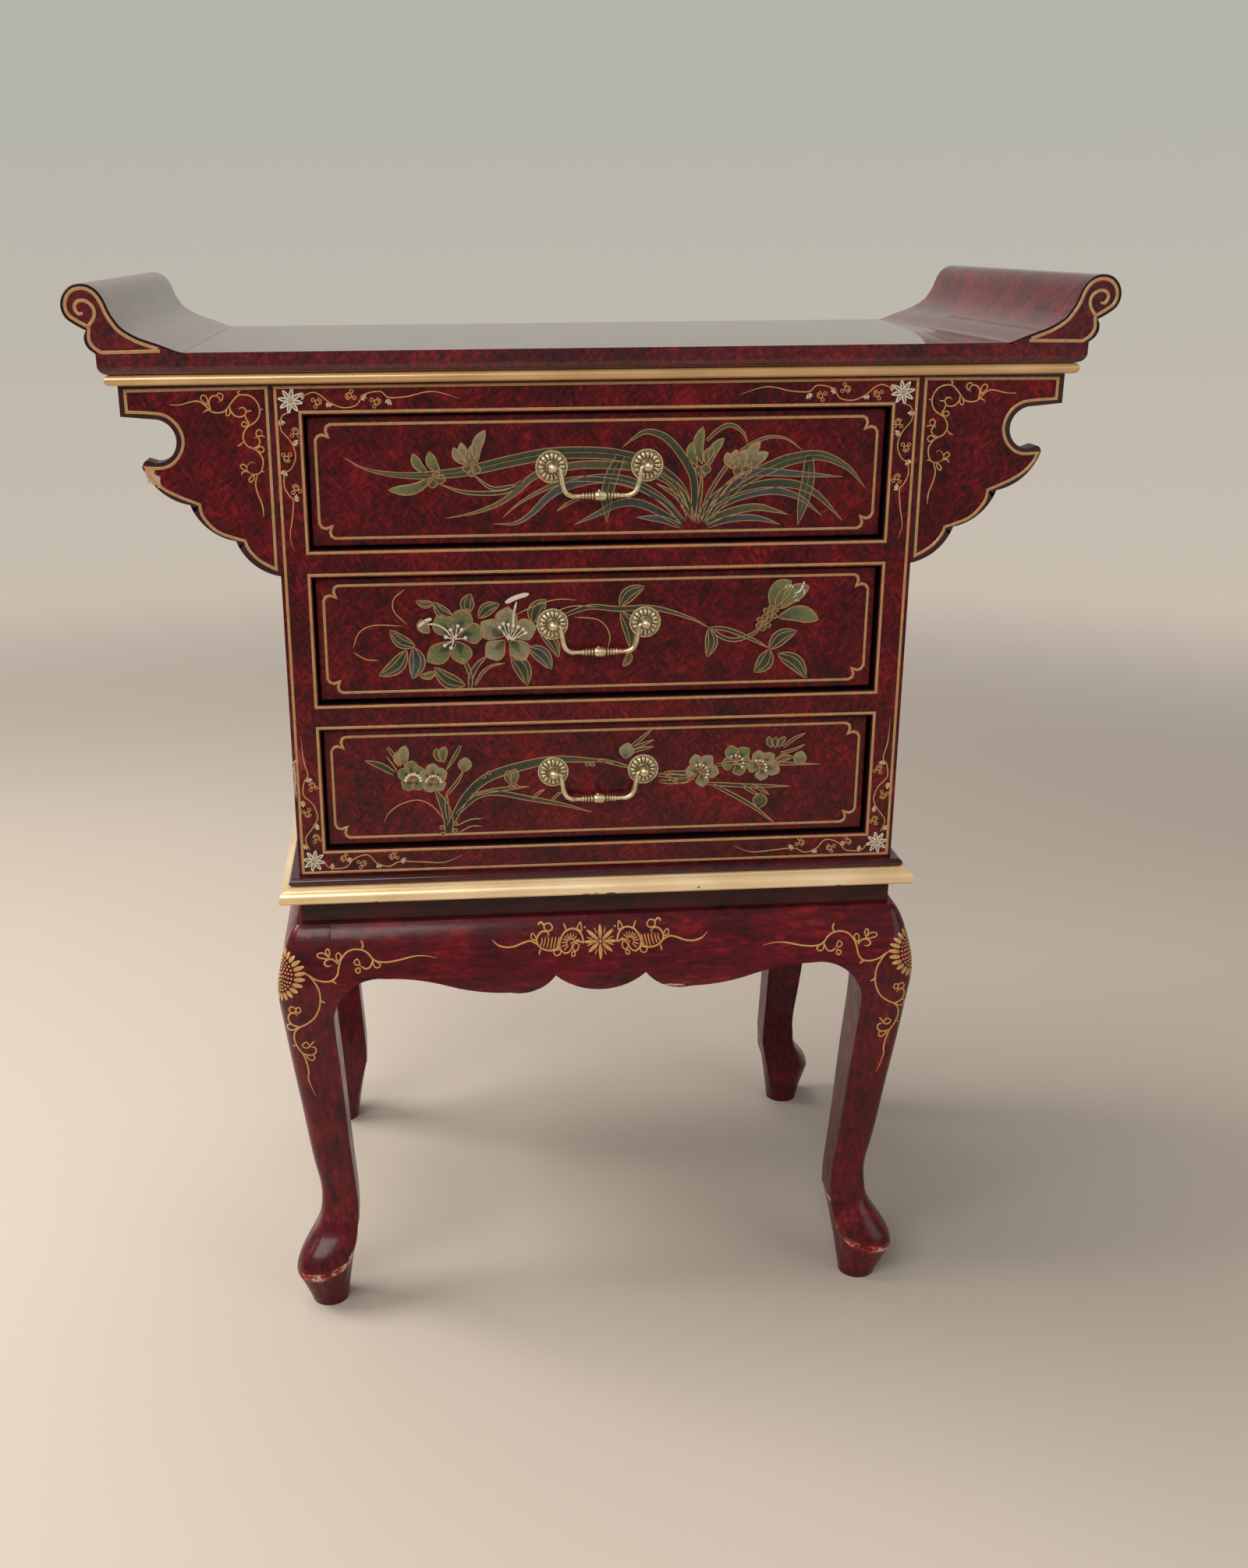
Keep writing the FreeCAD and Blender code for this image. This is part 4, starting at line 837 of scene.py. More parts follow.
# Painted sprays on the drawer fronts: x and z in mm
SPRAYS = {
    "upper": {
        "blades": (
            ("dark", 9, ((73, 716), (66, 738), (50, 753), (28, 763), (0, 768), (-38, 768), (-70, 763),
                         (-110, 755), (-150, 753), (-182, 758), (-201, 768))),
            ("olive", 6, ((72, 718), (60, 740), (50, 748), (30, 756), (0, 759), (-24, 758), (-50, 752),
                          (-65, 740), (-80, 730), (-100, 723), (-123, 719))),
            ("olive", 4, ((66, 714), (50, 730), (20, 744), (-20, 748), (-45, 740), (-65, 729), (-78, 718))),
            ("slate", 7, ((68, 712), (50, 731), (25, 745), (0, 748), (-25, 743), (-40, 735), (-55, 721),
                          (-68, 714), (-85, 714))),
            ("slate", 6, ((65, 711), (55, 717), (38, 726), (25, 729), (12, 727), (0, 721), (-20, 712))),
            ("dark", 10, ((17, 766), (10, 750), (6, 735), (6, 722), (6, 713))),
            ("dark", 6, ((76, 714), (76, 743), (69, 760), (54, 778), (38, 784), (27, 779), (18, 772))),
            ("olive", 3, ((80, 712), (90, 738), (108, 763), (130, 777), (148, 777), (163, 767))),
            ("olive", 3, ((85, 776), (95, 785), (105, 788), (115, 781), (118, 773))),
            ("dark", 9, ((88, 716), (112, 742), (138, 755), (155, 761), (178, 763), (200, 753), (215, 737))),
            ("dark", 10, ((168, 762), (168, 745), (165, 728), (161, 708))),
            ("slate", 6, ((78, 712), (92, 731), (118, 748), (130, 751), (160, 749), (197, 746))),
            ("dark", 7, ((84, 712), (95, 727), (115, 737), (145, 742), (172, 735), (198, 711))),
            ("slate", 6, ((82, 714), (105, 729), (135, 736), (160, 731), (181, 715))),
            ("olive", 6, ((86, 711), (100, 718), (115, 722), (130, 723), (153, 717))),
            ("slate", 5, ((88, 709), (100, 713), (115, 715), (130, 714), (147, 709))),
            ("slate", 5, ((66, 709), (50, 715), (30, 717))),
        ),
        "stems": (
            (3, ((-62, 747), (-75, 739), (-105, 739), (-127, 746))),
            (2.5, ((-66, 744), (-85, 742), (-100, 753))),
            (3, ((78, 712), (81, 735), (82, 752))),
            (3, ((84, 714), (97, 735), (112, 751))),
            (2, ((-15, 733), (-25, 729), (-34, 723))),
            (3, ((76, 714), (62, 733), (45, 744))),
            (3, ((77, 714), (68, 735), (57, 748))),
        ),
        "petals": (
            ("green", 7, (-136, 755), (-147, 770)),
            ("green", 8, (-126, 755), (-134, 771)),
            ("green", 8, (-130, 752), (-167, 742)),
            ("tan", 7, (-104, 761), (-115, 774)),
            ("tan", 7, (-101, 761), (-109, 778)),
            ("tan", 7, (-99, 761), (-98, 777)),
            ("tan", 8, (-97, 762), (-90, 787)),
            ("green", 7, (78, 757), (73, 775)),
            ("green", 8, (82, 758), (82, 787)),
            ("green", 7, (85, 758), (91, 771)),
            ("green", 7, (88, 757), (99, 778)),
            ("tan", 7, (108, 754), (102, 767)),
            ("tan", 7, (111, 755), (109, 769)),
            ("tan", 7, (115, 755), (117, 769)),
            ("tan", 8, (119, 755), (128, 775)),
            ("tan", 8, (122, 754), (135, 766)),
        ),
        "rings": (
            (-132, 747, 4), (-126, 750, 4), (-129, 753, 3), (-104, 758, 4), (-98, 757, 4), (-101, 754, 3),
            (79, 754, 3), (85, 754, 4), (82, 750, 3), (111, 752, 4), (118, 753, 4), (115, 749, 3),
        ),
    },
    "middle": {
        "stems": (
            (4, ((-106, 580), (-105, 590), (-99, 600), (-91, 607))),
            (3, ((-105, 588), (-108, 598), (-113, 606))),
            (2, ((-102, 582), (-96, 592), (-88, 598), (-77, 600))),
            (4, ((-30, 638), (-8, 645), (16, 643), (45, 643), (75, 634), (92, 625))),
            (3, ((92, 625), (105, 624), (125, 616), (142, 607))),
            (3, ((92, 625), (103, 617), (115, 615), (130, 621), (138, 632))),
        ),
        "tendrils": (
            ((-200, 616), (-195, 628), (-183, 634), (-160, 633)),
            ((-157, 663), (-166, 655), (-166, 645), (-156, 634)),
            ((-68, 640), (-50, 648), (-33, 652), (-18, 651)),
            ((-40, 640), (-22, 646), (0, 645)),
            ((-20, 637), (0, 634), (9, 622), (7, 608)),
            ((-200, 612), (-190, 606), (-180, 605)),
        ),
        "leaves": (
            ("dark", 10, (-150, 616), (-170, 630)), ("dark", 12, (-157, 613), (-180, 592)),
            ("slate", 13, (-151, 615), (-153, 589)), ("dark", 12, (-110, 582), (-135, 598)),
            ("olive", 6, (-134, 594), (-147, 591)), ("dark", 9, (-119, 640), (-134, 652)),
            ("slate", 6, (-134, 651), (-148, 653)), ("dark", 11, (-106, 642), (-104, 658)),
            ("dark", 10, (-98, 638), (-81, 649)), ("dark", 13, (-54, 633), (-43, 652)),
            ("slate", 12, (-58, 613), (-39, 594)), ("dark", 13, (-72, 606), (-59, 581)),
            ("dark", 9, (-48, 625), (-33, 604)), ("dark", 11, (17, 645), (37, 661)),
            ("dark", 12, (18, 641), (27, 609)), ("olive", 6, (26, 607), (20, 595)),
            ("dark", 10, (91, 625), (90, 601)), ("dark", 12, (142, 606), (164, 621)),
            ("dark", 13, (142, 606), (130, 587)), ("dark", 12, (149, 602), (174, 581)),
        ),
        "blossoms": (
            ("green", 17, (-117, 622), ((-132, 641), (-106, 646), (-93, 626), (-111, 600), (-141, 603))),
            ("tan", 18, (-75, 621), ((-74, 647), (-96, 635), (-51, 630), (-93, 606), (-60, 602))),
        ),
        "petals": (
            ("tan", 9, (-138, 627), (-145, 638)),
            ("green", 13, (151, 640), (173, 658)),
            ("green", 16, (143, 640), (158, 663)),
            ("green", 13, (146, 639), (163, 655)),
            ("green", 13, (148, 633), (182, 630)),
        ),
        "cones": (((134, 625), (144, 640), 5, 2.3),),
        "stamens": (
            ((-73, 618), ((-81, 630), (-78, 633), (-74, 632), (-70, 631), (-66, 630), (-62, 628),
                          (-60, 625))),
            ((-118, 621), ((-115, 632), (-121, 629), (-125, 623), (-126, 616), (-112, 629), (-109, 622),
                           (-121, 614))),
        ),
        "white": (
            (2.0, ((-70, 626), (-69.5, 640), (-67, 651))),
            (4.0, ((-76, 650), (-68, 654), (-57, 657))),
            (1.8, ((-120, 623), (-126, 630), (-133, 633.5), (-140, 634))),
            (3.2, ((-147, 632), (-142, 636), (-136, 638.5))),
            (1.4, ((152, 656), (155, 660))), (1.4, ((155, 656), (158, 660.5))),
            (1.4, ((158, 656), (160.5, 660))), (2.4, ((161, 652), (166, 655), (169, 662))),
            (1.6, ((169, 650), (169, 656))), (1.6, ((160, 649), (163.5, 651))),
            (1.5, ((161, 646), (164, 648))), (1.5, ((164, 645.5), (166, 648.5))),
        ),
    },
    "lower": {
        "stems": (
            (8, ((-127, 451), (-127, 466), (-131, 480), (-138, 494))),
            (7.5, ((-126, 460), (-112, 485), (-93, 502), (-65, 511), (-35, 516), (0, 514), (14, 511))),
            (4, ((-120, 470), (-103, 485), (-85, 488), (-57, 482), (-30, 476), (-4, 468))),
            (5, ((-171, 508), (-182, 515), (-195, 520))),
            (2, ((-55.5, 482), (-50, 487.5), (-45, 490))), (2, ((-40, 479), (-35, 484.5), (-29.5, 488))),
            (3, ((-127, 466), (-128, 478), (-128, 490))), (3, ((-107, 487), (-85, 491), (-58, 493))),
            (2.5, ((-128, 488), (-118, 500), (-113, 510))), (2.5, ((-176, 531), (-171, 524), (-166, 514))),
            (2.5, ((-115, 531), (-121, 520), (-128, 509))), (3, ((0, 515), (15, 511), (30, 506))),
            (3, ((50, 500), (66, 498), (82, 497))), (3, ((52, 494), (66, 493), (82, 495))),
            (3, ((100, 507), (124, 509), (150, 507), (190, 505))),
            (2.5, ((157, 521), (166, 528), (176, 533))), (3, ((92, 491), (125, 488), (165, 486))),
            (3, ((98, 490), (130, 471), (153, 453))), (2.5, ((123, 488), (133, 482), (139, 478))),
            (2.5, ((131, 488), (140, 484), (147, 479))), (2.5, ((26, 524), (36, 532), (45, 540))),
            (2.5, ((26, 523), (37, 527), (47, 531))), (2.5, ((25, 520), (36, 523), (47, 525))),
            (2, ((155, 516), (165, 518), (176, 523))),
        ),
        "tendrils": (
            ((-130, 465), (-140, 478), (-152, 484), (-166, 481), (-176, 474), (-181, 466)),
            ((-120, 460), (-109, 465), (-98, 466)), ((-118, 454), (-108, 459), (-99, 459)),
            ((-177, 523), (-172, 516), (-168, 509)),
        ),
        "leaves": (("dark", 11, (84, 499), (56, 502)), ("olive", 6, (150, 507), (166, 512))),
        "blossoms": (
            ("green", 11.5, (-156, 504), ((-167, 511), (-156, 519), (-146, 511), (-149, 493), (-164, 494))),
            ("tan", 11.5, (-139, 502), ((-149, 509), (-138, 516), (-127, 508), (-131, 492), (-146, 492))),
            ("tan", 11.5, (87, 502), ((82, 517), (97, 515), (74, 503), (103, 500), (89, 488))),
            ("green", 11.5, (117, 509), ((112, 524), (128, 521), (105, 508), (121, 497), (130, 507))),
            ("tan", 11.5, (139, 505), ((136, 519), (150, 515), (127, 506), (155, 499), (139, 492))),
        ),
        "petals": (
            ("tan", 5.4, (-165.5, 514), (-168, 527)), ("tan", 9, (-161, 514.5), (-161, 532)),
            ("olive", 5, (-132, 517), (-135.5, 529)), ("green", 7.5, (-129.5, 516.5), (-128, 530)),
            ("olive", 6, (-74, 496), (-75.5, 508)), ("green", 8.5, (-70, 495.5), (-69.5, 509)),
            ("olive", 4.5, (147.5, 521), (145, 531)), ("dark", 4.5, (151, 520.5), (151, 530.5)),
            ("olive", 5, (153.5, 521), (159, 530)),
        ),
        "buds": (
            ("tan", -112, 514, 5.5), ("tan", 24, 522, 6), ("tan", 172, 511, 5.5), ("olive", 139, 474, 6),
        ),
        "rings": (
            (-132.5, 459, 2), (-121.5, 456, 2), (-132, 453, 1.8), (-121, 462, 1.8), (-96.5, 503, 1.8),
            (-92, 506, 1.7), (-73.5, 494, 1.7), (-69, 493.5, 1.7), (-9, 511.2, 2), (-4.8, 510.6, 1.8),
        ),
        "fringes": (
            ((-155.5, 500.5), 6.4, 170, 4, 8, 1.5), ((-138.5, 498.5), 6.4, 164, 10, 8, 1.2),
            ((86, 500.5), 7.4, 112, -36, 7, 1.3), ((116.5, 508), 7.0, 118, -28, 6, 1.3),
            ((136.5, 503), 7.0, 104, -18, 6, 1.3),
        ),
    },
}
STEM_LINE = 0.9
TENDRIL_LINE = 0.9
BLADE_LINE = 0.72
VEINED_WIDTH = 8
STAMEN_WIDTH, STAMEN_HEAD = 1.2, 1.75
FRINGE_WIDTH = 0.6
THREAD_MIDDLE = 0.6
SCALE_GAP = 1.9
BLOSSOM_START = 0.12
BLOSSOM_PETAL = {"veins": False, "line": 0.75, "peak": 0.6, "bend": 0.05, "full": 1.1}
PETAL_SHADE = {"green": "dark", "tan": "olive"}
SHADE_LENGTH, SHADE_WIDTH = 0.55, 0.42


def paint_cone(canvas, base, tip, rows, radius):
    """Rows of small scales from a bud's stalk up to its petals."""
    step = (tip - base) / (rows - 1)
    sideways = Vector((-step.y, step.x)).normalized() * radius * SCALE_GAP
    for row in range(rows):
        count = 2 + row % 2
        for k in range(count):
            spot = base + step * row + sideways * (k - (count - 1) / 2)
            canvas.bud(*spot, radius, "olive", 1.0)


def paint_thread(canvas, base, tip, width, colour, head):
    """A thin straight thread with a white head."""
    canvas.stroke((base, Vector(base).lerp(Vector(tip), THREAD_MIDDLE), tip), width, colour)
    canvas.dot(*tip, head)


def paint_spray(name, spray):
    """One drawer's flowers, from the back of the picture to its front."""
    canvas = Canvas(flat_front(front_of(name + "_drawer_front")))
    for points in spray.get("tendrils", ()):
        canvas.stroke(points, TENDRIL_LINE, "ochre", ends=(0.4, 0.3))
    for width, points in spray.get("stems", ()):
        canvas.blade(points, width, "dark", STEM_LINE, vein=False)
    for colour, width, spine in spray.get("blades", ()):
        canvas.blade(spine, width, colour, BLADE_LINE, vein=width >= VEINED_WIDTH)
    for colour, width, base, tip in spray.get("leaves", ()):
        canvas.leaf(base, tip, width, colour)
    for colour, width, base, tip in spray.get("petals", ()):
        canvas.leaf(base, tip, width, colour, veins=False, peak=0.6)
    for colour, width, centre, tips in spray.get("blossoms", ()):
        for tip in tips:
            base = Vector(centre).lerp(Vector(tip), BLOSSOM_START)
            canvas.leaf(base, tip, width, colour, **BLOSSOM_PETAL)
            shaded = base.lerp(Vector(tip), SHADE_LENGTH)
            canvas.leaf(base, shaded, width * SHADE_WIDTH, PETAL_SHADE[colour], veins=False, line=None)
    for colour, u, v, radius in spray.get("buds", ()):
        canvas.bud(u, v, radius, colour)
    for u, v, radius in spray.get("rings", ()):
        canvas.bud(u, v, radius, "olive", 1.0)
    for base, tip, rows, radius in spray.get("cones", ()):
        paint_cone(canvas, Vector(base), Vector(tip), rows, radius)
    for base, tips in spray.get("stamens", ()):
        for tip in tips:
            paint_thread(canvas, base, tip, STAMEN_WIDTH, "white", STAMEN_HEAD)
    for base, reach, start, end, count, head in spray.get("fringes", ()):
        for k in range(count):
            tip = polar(reach, start + (end - start) * k / (count - 1), base)
            paint_thread(canvas, base, tip, FRINGE_WIDTH, "gold", head)
    for width, points in spray.get("white", ()):
        canvas.stroke(points, width, "white", ends=(0.5, 0.4))
    canvas.build(name + "_flower_spray", name + "_drawer")


# Vines on the face frame's corners, for the right half; the left one mirrors it
STILE_FLOWERS = ((239, 812), (241, 435))
STILE_VINES = (
    ((230, 815), (222, 818), (216, 816), (210, 811), (200, 806.5), (189, 808), (182, 816), (170, 818),
     (164, 813.5), (150, 814), (130, 817.5), (109, 812)),
    ((239, 803.5), (245, 801.5), (247.3, 797), (247, 790), (241, 782.5), (238, 776), (237.3, 769),
     (241, 761), (246, 757), (247.3, 748), (244, 740.5), (241, 736), (242.5, 722), (245, 708),
     (242.5, 696.5)),
    ((233, 435), (228, 428.5), (215, 428.5), (207, 436), (196, 439), (188, 431), (178, 428), (169, 432),
     (150, 431), (132, 430), (116, 436)),
    ((244, 445), (247, 455), (241, 464), (236, 474), (239, 485), (246.5, 494), (245.5, 505), (242, 511),
     (245, 525), (246, 545)),
)
STILE_BUDS = (
    (247, 798), (238.5, 781.5), (245.5, 759.5), (240.5, 737.5), (228, 816.5), (210, 811), (185, 815),
    (163, 812), (228, 429), (209, 435.5), (187, 431), (168, 434), (247, 450), (239, 465), (245.5, 487),
    (242, 509),
)
STILE_CURLS = (
    (236.5, 789, 20), (244, 768.5, 200), (238.5, 746, 10), (218, 811, 90), (194, 815, 270), (173, 810.5, 90),
    (216, 436.5, 270), (200, 431.5, 90), (175, 437, 270), (238, 456, 0), (244, 477, 180), (239, 502, 0),
)
VINE_WIDTH = 0.95
CURL_RADIUS, CURL_WIDTH = 3, 0.9
CURL_TURN, CURL_STEPS, CURL_SHRINK = 520, 9, 0.72
CURL_LOOPS = (70, 150)
LOOP_REACH, LOOP_RADIUS, LOOP_WIDTH = 1.35, 0.42, 0.8
BUD_LENGTH, BUD_WIDTH, BUD_LINE = 4.4, 1.9, 0.45
BUD_SPREAD = (-34, 0, 34)
BUD_TURNS = (250, 200, 290, 160, 330)
STILE_PETALS = (1.6, 9.4, 3.7, 8)
STILE_RIBS = (3.0, 8.0, 1.3, 8)
STILE_EYE = 1.4


def curl(canvas, middle, start):
    """A small tendril that winds in to its end, with two loops beside it."""
    points = []
    for k in range(CURL_STEPS + 1):
        share = k / CURL_STEPS
        points.append(polar(CURL_RADIUS * (1 - CURL_SHRINK * share), start + CURL_TURN * share, middle))
    canvas.stroke(points, CURL_WIDTH, "ochre", ends=(0.7, 0.5))
    for away in CURL_LOOPS:
        spot = polar(CURL_RADIUS * LOOP_REACH, start - away, middle)
        loop = circle(spot, CURL_RADIUS * LOOP_RADIUS, DOT_CORNERS)
        canvas.stroke(loop, CURL_WIDTH * LOOP_WIDTH, "ochre", closed=True)


def flower(canvas, middle, inner, outer, width, count, colour):
    """Petals round a middle."""
    for k in range(count):
        turn = 360 * (k + 0.25) / count
        spots = [polar(reach, turn, middle) for reach in (inner, (inner + outer) / 2, outer)]
        spine = spline(spots, step=LEAF_STEP)
        halves = [width / 2 * math.sin(math.pi * min(0.92, 0.12 + 0.85 * t)) ** 0.7 for t in shares(spine)]
        canvas.fill(spine, halves, colour)


def add_stile_vines():
    canvas = Canvas(flat_front(front_of("left_stile")))
    for side in SIDES:
        canvas.side, canvas.layer = side, 0
        for points in STILE_VINES:
            canvas.stroke(points, VINE_WIDTH, "ochre", ends=(0.8, 0.2))
        for u, v, start in STILE_CURLS:
            curl(canvas, (u, v), start)
        for k, spot in enumerate(STILE_BUDS):
            for spread in BUD_SPREAD:
                tip = polar(BUD_LENGTH, BUD_TURNS[k % len(BUD_TURNS)] + spread, spot)
                canvas.leaf(spot, tip, BUD_WIDTH, "white", veins=False, line=BUD_LINE)
        for spot in STILE_FLOWERS:
            flower(canvas, spot, *STILE_PETALS, "white")
            flower(canvas, spot, *STILE_RIBS, "olive")
            canvas.dot(*spot, STILE_EYE, "ochre")
    canvas.build("face_frame_vines", "cabinet")


# Wing brackets: the line, the dark border outside it and the vine; a repeated point is a corner
WING_LINE = (
    (257.3, 682.5), (257, 752), (256.8, 822), (256.8, 822), (363, 821), (363, 821), (363, 805.3),
    (363, 805.3), (345, 804.3), (335, 802.5), (328, 797.5), (323.5, 790), (322.3, 782), (325, 773.5),
    (331, 766.5), (339, 763), (352, 763.2), (352, 763.2), (348, 755), (340, 747), (328, 740.5),
    (313.5, 734.5), (313.5, 734.5), (312, 726), (306, 717.5), (299, 712), (290, 708.5), (280.5, 705.5),
    (280.5, 705.5), (278, 699), (272, 691.5), (264, 686), (257.3, 682.5), (257.3, 682.5),
)
WING_VINES = (
    ((330, 810.2), (322, 810.3), (311, 812.8), (306, 811.5), (302, 808), (299, 804.8), (294, 803.8),
     (289, 805), (285.5, 809), (279, 816), (274, 817), (268, 815.5), (264, 811), (262.5, 805.5),
     (263.8, 800), (267, 796.2), (273.5, 792), (276.5, 785), (274, 779), (269.5, 776.8), (265.5, 774),
     (262.3, 768), (264, 759.5), (268, 757), (272, 757.5), (275, 760.5), (274, 764.5), (271, 766.5),
     (268.5, 765)),
    ((267, 757.5), (269.2, 750), (268, 742), (265, 733), (264.5, 724)),
    ((285, 810), (284.5, 805.5), (282, 801.8), (278, 800.5), (274.5, 801.5), (272.8, 804.5),
     (274.5, 807.3), (277.2, 807.3), (278.5, 805.8)),
    ((273.8, 802), (273, 798.5), (270.5, 795.5)), ((273, 804.8), (268.5, 805)),
    ((270, 777), (266, 778), (263.8, 781.5), (265, 785), (266.5, 788), (264.5, 790.8), (261.8, 789.5),
     (262.2, 787)),
    ((259.8, 785.3), (263, 786.2), (267.5, 784.8)),
    ((299.5, 805), (300.5, 812), (298, 816), (294, 816.3), (292, 814), (293, 811.5)),
    ((300.5, 806), (303, 805.8), (305.5, 804)), ((262.5, 805.5), (259.8, 806.3)),
    ((277, 817), (278.3, 819), (276, 820.3)), ((276.5, 782), (279, 779.5), (281.3, 778.7)),
    ((272, 757.5), (276, 759.5), (279, 758.5), (279.5, 756.5)), ((264, 759), (261.5, 758.8)),
)
WING_LOOPS = (
    ((285.6, 808.5), (285, 803.5), (287, 801.5), (288.2, 803.5)),
    ((271.5, 795), (275, 793), (277, 794.5), (275.5, 797)),
    ((267, 776), (263, 778.2), (261, 775.7), (263, 773.5)),
    ((301.5, 810), (302.2, 816), (305.3, 817), (306.3, 814)),
    ((291, 813), (289.5, 816.5), (292, 818.5), (294, 817)),
    ((275.5, 759.8), (275.8, 763.8), (278.5, 764.8), (280, 762.5)),
    ((270, 757), (270.5, 753), (273, 751), (274, 753)),
)
WING_LINE_WIDTH, WING_VINE_WIDTH, WING_LOOP_WIDTH = 2.6, 1.15, 1.0
BORDER_HEIGHT = 0.08
BORDER_START, BORDER_MARGIN = 0.8, 0.1
MARCH_REACH, MARCH_STEP, MARCH_DROP = 9.0, 0.25, 0.4


def march_out(tree, spot, way, face_y):
    """How far a flat face goes on from a spot, sideways, in mm."""
    gone = 0.0
    while gone < MARCH_REACH:
        ahead = spot + way * (gone + MARCH_STEP)
        hit = tree.ray_cast(Vector((ahead.x * MM, -1.0, ahead.y * MM)), Vector(BACK))[0]
        if hit is None or abs(hit.y / MM - face_y) > MARCH_DROP:
            break
        gone += MARCH_STEP
    return gone


def border(canvas, tree, path, face_y):
    """A dark band from a line out to the edge of the face it lies on."""
    area = sum(a.x * b.y - b.x * a.y for a, b in zip(path, path[1:] + path[:1]))
    outward = -1 if area > 0 else 1
    rows = []
    for point, normal in zip(path, edge_normals(path, True)):
        way = normal.normalized() * outward
        spot = Vector((point.x * canvas.side, point.y))
        gone = march_out(tree, spot, Vector((way.x * canvas.side, way.y)), face_y)
        near = point + way * min(BORDER_START, gone)
        far = point + way * max(BORDER_START, gone - BORDER_MARGIN)
        section = ((near, -SINK), (near, BORDER_HEIGHT), (far, BORDER_HEIGHT), (far, -SINK))
        rows.append([(edge.x, edge.y, height, LINE_TONE) for edge, height in section])
    canvas.loft(rows, "border", closed=True)


def add_wing_paint():
    for name, side in NAMED_SIDES:
        node = name + "_wing_bracket"
        face_y = front_of(node)
        canvas = Canvas(flat_front(face_y), side)
        border(canvas, surface_of([node]), smooth_path(WING_LINE, True), face_y)
        canvas.stroke(WING_LINE, WING_LINE_WIDTH, closed=True)
        for points in WING_VINES:
            canvas.stroke(points, WING_VINE_WIDTH, "ochre", ends=(0.5, 0.3))
        for points in WING_LOOPS:
            canvas.stroke(points, WING_LOOP_WIDTH, "ochre", closed=True)
        canvas.build(name + "_wing_paint", "cabinet")


# Scroll ends, for the right side: the outline of the roll, and the lines on its face
SCROLL_TOP = (
    (316, 849.2), (321, 850.6), (333, 855.2), (348, 860.6), (359, 867.3), (364.3, 874), (367.4, 879.6),
    (369.4, 885), (371.8, 890), (375.7, 894.8), (381, 898), (387, 899), (393.5, 897.5), (398.7, 893.3),
    (401.6, 887.5), (402, 881.2), (399.3, 874.8), (393, 870), (385.4, 865.8),
)
SCROLL_NECK = ((385.4, 865.8), (387.2, 862), (387.0, 857), (384.6, 852.6), (380.0, 849.0))
SCROLL_FOOT_Z, SCROLL_FOOT_INSET = 847.1, 6.0
SCROLL_LINE_WIDTH, SCROLL_LINE_INSET, SCROLL_LINE_LOWEST = 2.7, 3.3, 851.6
SCROLL_EDGE_WIDTH, SCROLL_EDGE_INSET = 1.6, 0.95
SCROLL_CREASE = 35.0
SCROLL_BOTTOM_LINE = ((332.5, 850.6), (352, 850.2), (375.4, 849.9))
SCROLL_NECK_LINE = (
    (375.4, 849.9), (380.6, 853.4), (383.3, 857.6), (383.8, 862), (383.2, 866), (383.4, 868.6),
)
SCROLL_SPIRAL = (
    (383.4, 868.6), (379.4, 873.8), (378, 878.6), (379.4, 883.4), (383.7, 886.7), (388.6, 886.8),
    (391.8, 883.8), (391.6, 880.2), (389.3, 877.6), (386.3, 878.2),
)


def inset_path(path, distance):
    """A path moved to its right-hand side."""
    return [point - normal * distance for point, normal in zip(path, edge_normals(path))]


def add_scroll_ends(material):
    """The rolls, with the lines and the dark edge of their faces."""
    top, neck = spline(SCROLL_TOP), spline(SCROLL_NECK)
    profile = top + neck[1:]
    for x in (profile[-1].x, profile[0].x + SCROLL_FOOT_INSET):
        profile.append(Vector((x, SCROLL_FOOT_Z)))
    for name, side in NAMED_SIDES:
        node = name + "_scroll_end"
        low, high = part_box(node)
        ends = (low.y, high.y)
        rings = [[Vector((point.x * side * MM, y, point.y * MM)) for point in profile] for y in ends]
        piece = smooth_piece(name + "_rolled_end", [rings], material, SCROLL_CREASE)
        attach(piece, "cabinet")
        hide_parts(node)
        canvas = Canvas(flat_front(low.y / MM), side)
        for edge in (top, neck):
            line = inset_path(edge, SCROLL_EDGE_INSET)
            canvas.stroke(line, SCROLL_EDGE_WIDTH, "black", sharp=True, ends=(0.3, 1.0))
        line = [point for point in inset_path(top, SCROLL_LINE_INSET) if point.y > SCROLL_LINE_LOWEST]
        canvas.stroke(line, SCROLL_LINE_WIDTH, sharp=True)
        canvas.stroke(SCROLL_BOTTOM_LINE, SCROLL_LINE_WIDTH)
        canvas.stroke(SCROLL_NECK_LINE, SCROLL_LINE_WIDTH)
        canvas.stroke(SCROLL_SPIRAL, SCROLL_LINE_WIDTH, ends=(1.0, 0.7))
        canvas.build(name + "_scroll_paint", "cabinet")


